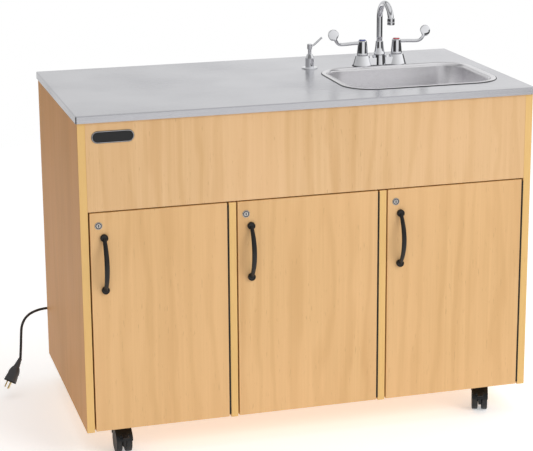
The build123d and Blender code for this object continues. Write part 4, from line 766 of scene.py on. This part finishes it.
def plug_moulding():
    """A ribbed neck that swells into a flat-sided grip, with a black face for the prongs."""
    across = (PLUG_ACROSS - PLUG_AIM * PLUG_ACROSS.dot(PLUG_AIM)).normalized()
    over = PLUG_AIM.cross(across)
    origin = (PLUG_BACK + SHIFT) * MM

    def ring(along, half_x, half_y, corner):
        flat = rounded_rectangle(0, 0, 0, half_x * MM, half_y * MM, corner * MM, 8)
        return [origin + PLUG_AIM * (along * MM) + across * p.x + over * p.y for p in flat]

    rings = [ring(0, 4.9, 4.9, 4.9)]
    for rib in range(5):
        start, wide = 3 + rib * 4.6, 5.3 + rib * 0.75
        rings += [ring(start, wide, wide, wide), ring(start + 2.4, wide + 0.9, wide + 0.9, wide + 0.9)]
        rings += [ring(start + 3.0, wide - 0.5, wide - 0.5, wide - 0.5)]
    rings += [
        ring(27, 9.6, 8.4, 7.5), ring(33, 12.8, 9.8, 8), ring(42, 15.4, 11.2, 8.6),
        ring(46, 15.9, 11.4, 8.8), ring(50, 15.2, 11.0, 8.6), ring(58, 16.6, 11.8, 9),
        ring(68.5, 17.6, 12.3, 9.4), ring(69.5, 17.4, 12.1, 9.2),
    ]
    bm = bmesh.new()
    loft(bm, rings)
    grip = publish("plug_grip", finish_mesh(bm, "plug_grip"), "cabinet", PLUG_GREY)
    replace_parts(grip, "plug_body")
    face = [
        ring(68.4, 16.6, 11.4, 8.8), ring(69.4, 17.7, 12.3, 9.6), ring(71.8, 17.9, 12.4, 9.8),
        ring(73, 17.0, 11.6, 9.2),
    ]
    bm = bmesh.new()
    loft(bm, face)
    front = publish("plug_face", finish_mesh(bm, "plug_face"), "cabinet", BLACK_PLASTIC)
    return grip, front


# ---------------------------------------------------------------- power cord
CORD_DIAMETER = 7.5 * MM
COIL_CENTRE = Vector((66.0, 654.0, 164.0))
COIL_RADIUS = 43.0
COIL_TURNS = 5
COIL_PACK = 8.0             # from the bundle's middle to each turn's middle
POINTS_PER_TURN = 16
LEAD_ROUTE = [
    (190, 656, 330), (190, 686, 329), (189, 710, 311), (184, 718, 282), (170, 713, 254),
    (147, 698, 234), (120, 680, 224), (94, 666, 217), (72, 662, 209),
]
TAIL_ROUTE = [
    (50, 656, 212), (20, 655, 211), (-22, 652, 210), (-58, 637, 201), (-79, 607, 184),
    (-85, 583, 159), (-89, 565, 132), (-94, 549, 103),
]


def coil_points():
    """Turns that wind about the bundle's middle line, each beside the last."""
    points = []
    for k in range(1, COIL_TURNS * POINTS_PER_TURN):
        share = k / POINTS_PER_TURN
        turn = math.radians(90) + math.tau * share
        pack = math.radians(90) + math.radians(60) * share
        out = COIL_RADIUS + COIL_PACK * math.cos(pack)
        across = COIL_PACK * math.sin(pack)
        points.append(COIL_CENTRE + Vector((out * math.cos(turn), across, out * math.sin(turn))))
    return points


def power_cord():
    route = [Vector(p) for p in LEAD_ROUTE] + coil_points() + [Vector(p) for p in TAIL_ROUTE]
    route = [(p + SHIFT) * MM for p in route]
    curve = bpy.data.curves.new("power_cord_line", "CURVE")
    curve.dimensions = "3D"
    spline = curve.splines.new("NURBS")
    spline.points.add(len(route) - 1)
    for point, place in zip(spline.points, route):
        point.co = (*place, 1)
    spline.order_u = 3
    spline.use_endpoint_u = True
    spline.resolution_u = 8
    curve.bevel_depth = CORD_DIAMETER / 2
    curve.bevel_resolution = 5
    curve.materials.append(RUBBER)
    cord = bpy.data.objects.new("power_cord_line", curve)
    bpy.context.scene.collection.objects.link(cord)
    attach(cord, "cabinet")
    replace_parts(cord, "power_cord", "cord_coil")
    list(plug_moulding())


# ---------------------------------------------------------------- camera, light and floor
CAMERA_PLACE = Vector((-1.27808, -4.33978, 1.76964))
CAMERA_TURN = (15.99, 14.16, -0.40)         # azimuth, pitch down and roll, degrees
CAMERA_LENS = 113.98
CAMERA_SHIFT = -0.0844


def camera():
    data = bpy.data.cameras.new("camera")
    data.lens = CAMERA_LENS
    data.sensor_width = 36.0
    data.shift_y = CAMERA_SHIFT
    data.clip_end = 100
    place = bpy.data.objects.new("camera", data)
    bpy.context.scene.collection.objects.link(place)
    azimuth, pitch, roll = [math.radians(v) for v in CAMERA_TURN]
    turn = Matrix.Rotation(-azimuth, 4, "Z") @ Matrix.Rotation(math.pi / 2 - pitch, 4, "X")
    place.matrix_world = Matrix.Translation(CAMERA_PLACE) @ turn @ Matrix.Rotation(roll, 4, "Z")
    bpy.context.scene.camera = place


def area_light(name, place, target, size, power):
    """A soft light that polished metal doesn't mirror."""
    data = bpy.data.lights.new(name, "AREA")
    data.shape = "RECTANGLE"
    data.size, data.size_y = size
    data.energy = power
    lamp = bpy.data.objects.new(name, data)
    bpy.context.scene.collection.objects.link(lamp)
    lamp.visible_glossy = False
    lamp.location = place
    lamp.rotation_euler = (Vector(target) - Vector(place)).to_track_quat("-Z", "Y").to_euler()


SOFT_MIDDLE, SOFT_RISE = 0.54, 0.26         # light on dull surfaces, and its rise to the right
SHEEN_MIDDLE, SHEEN_RISE = 0.80, 0.30       # what glossy surfaces mirror, and its rise to the right
SIDE_FLAG_FROM, SIDE_FLAG_TOP = 0.42, 0.16  # dark flags at both sides, up to just over the horizon
OVERHEAD_FLAG = (0.52, 0.80)
OVERHEAD_FLAG_DARK = 0.7
FLAG_DARK = 0.93
FLAG_EDGE = 0.06
BEYOND = 1.2                # past the end of any direction's axis, so that edge never shows


def studio_world():
    """White behind the object. Light falls off to the left, and polished metal sees dark flags."""
    world = bpy.data.worlds.new("studio")
    bpy.context.scene.world = world
    world.use_nodes = True
    nodes, links = world.node_tree.nodes, world.node_tree.links

    def value(operation, a, b=0.0, clamp=False):
        node = nodes.new("ShaderNodeMath")
        node.operation = operation
        node.use_clamp = clamp
        for socket, source in zip(node.inputs, (a, b)):
            if isinstance(source, bpy.types.NodeSocket):
                links.new(source, socket)
            else:
                socket.default_value = source
        return node.outputs[0]

    def band(source, near, far):
        """1 between two limits, falling softly to 0 outside them."""
        rise = value("DIVIDE", value("SUBTRACT", source, near), FLAG_EDGE, True)
        fall = value("DIVIDE", value("SUBTRACT", far, source), FLAG_EDGE, True)
        return value("MULTIPLY", rise, fall)

    coords = nodes.new("ShaderNodeTexCoord")
    split = nodes.new("ShaderNodeSeparateXYZ")
    links.new(coords.outputs["Generated"], split.inputs["Vector"])
    across, up = split.outputs["X"], split.outputs["Z"]
    soft = value("ADD", value("MULTIPLY", across, SOFT_RISE), SOFT_MIDDLE)
    aside = band(value("ABSOLUTE", across), SIDE_FLAG_FROM, BEYOND)
    aside = value("MULTIPLY", aside, band(up, -BEYOND, SIDE_FLAG_TOP))
    overhead = value("MULTIPLY", band(up, *OVERHEAD_FLAG), OVERHEAD_FLAG_DARK)
    flags = value("MULTIPLY", value("MAXIMUM", aside, overhead), FLAG_DARK)
    sheen = value("ADD", value("MULTIPLY", across, SHEEN_RISE), SHEEN_MIDDLE)
    sheen = value("MULTIPLY", sheen, value("SUBTRACT", 1.0, flags))
    rays = nodes.new("ShaderNodeLightPath")
    chosen = nodes.new("ShaderNodeMix")
    links.new(rays.outputs["Is Glossy Ray"], chosen.inputs[0])
    links.new(soft, chosen.inputs[2])
    links.new(sheen, chosen.inputs[3])
    strength = value("MAXIMUM", chosen.outputs[0], rays.outputs["Is Camera Ray"])
    background = nodes["Background"]
    background.inputs["Color"].default_value = (1.0, 1.0, 1.0, 1)
    links.new(strength, background.inputs["Strength"])


FLOOR_RADIUS = 3.4
FLOOR_GLOW = 0.42           # lifts the pale floor to the white behind it


def studio():
    bpy.context.scene.view_settings.view_transform = "Standard"
    area_light("key_light", (2.6, -4.2, 3.4), (0, 0, 0.5), (2.6, 2.2), 90)
    area_light("top_light", (0.2, 0.4, 3.6), (0, 0.1, 0.9), (3.2, 2.2), 25)
    studio_world()
    bm = bmesh.new()
    bmesh.ops.create_circle(bm, cap_ends=True, segments=96, radius=FLOOR_RADIUS)
    floor = bpy.data.objects.new("studio_floor", finish_mesh(bm, "studio_floor"))
    bpy.context.scene.collection.objects.link(floor)
    paint = Paint("studio_floor", (0.93, 0.93, 0.93), 0.9, Specular_IOR_Level=0.0)
    paint.shader.inputs["Emission Color"].default_value = (1, 1, 1, 1)
    paint.shader.inputs["Emission Strength"].default_value = FLOOR_GLOW
    floor.data.materials.append(paint.material)


camera()
power_cord()
dress_frame()
cabinet_boards()
handle(-1, "handle_cold", "cold_handle_turn", COLD_RING)
handle(1, "handle_hot", "hot_handle_turn", HOT_RING)
gooseneck()
pressed_basin()
basin_rim_shade_bead()
nameplate_border()
for bay_name in ("left", "middle", "right"):
    door_trim(bay_name)
studio()
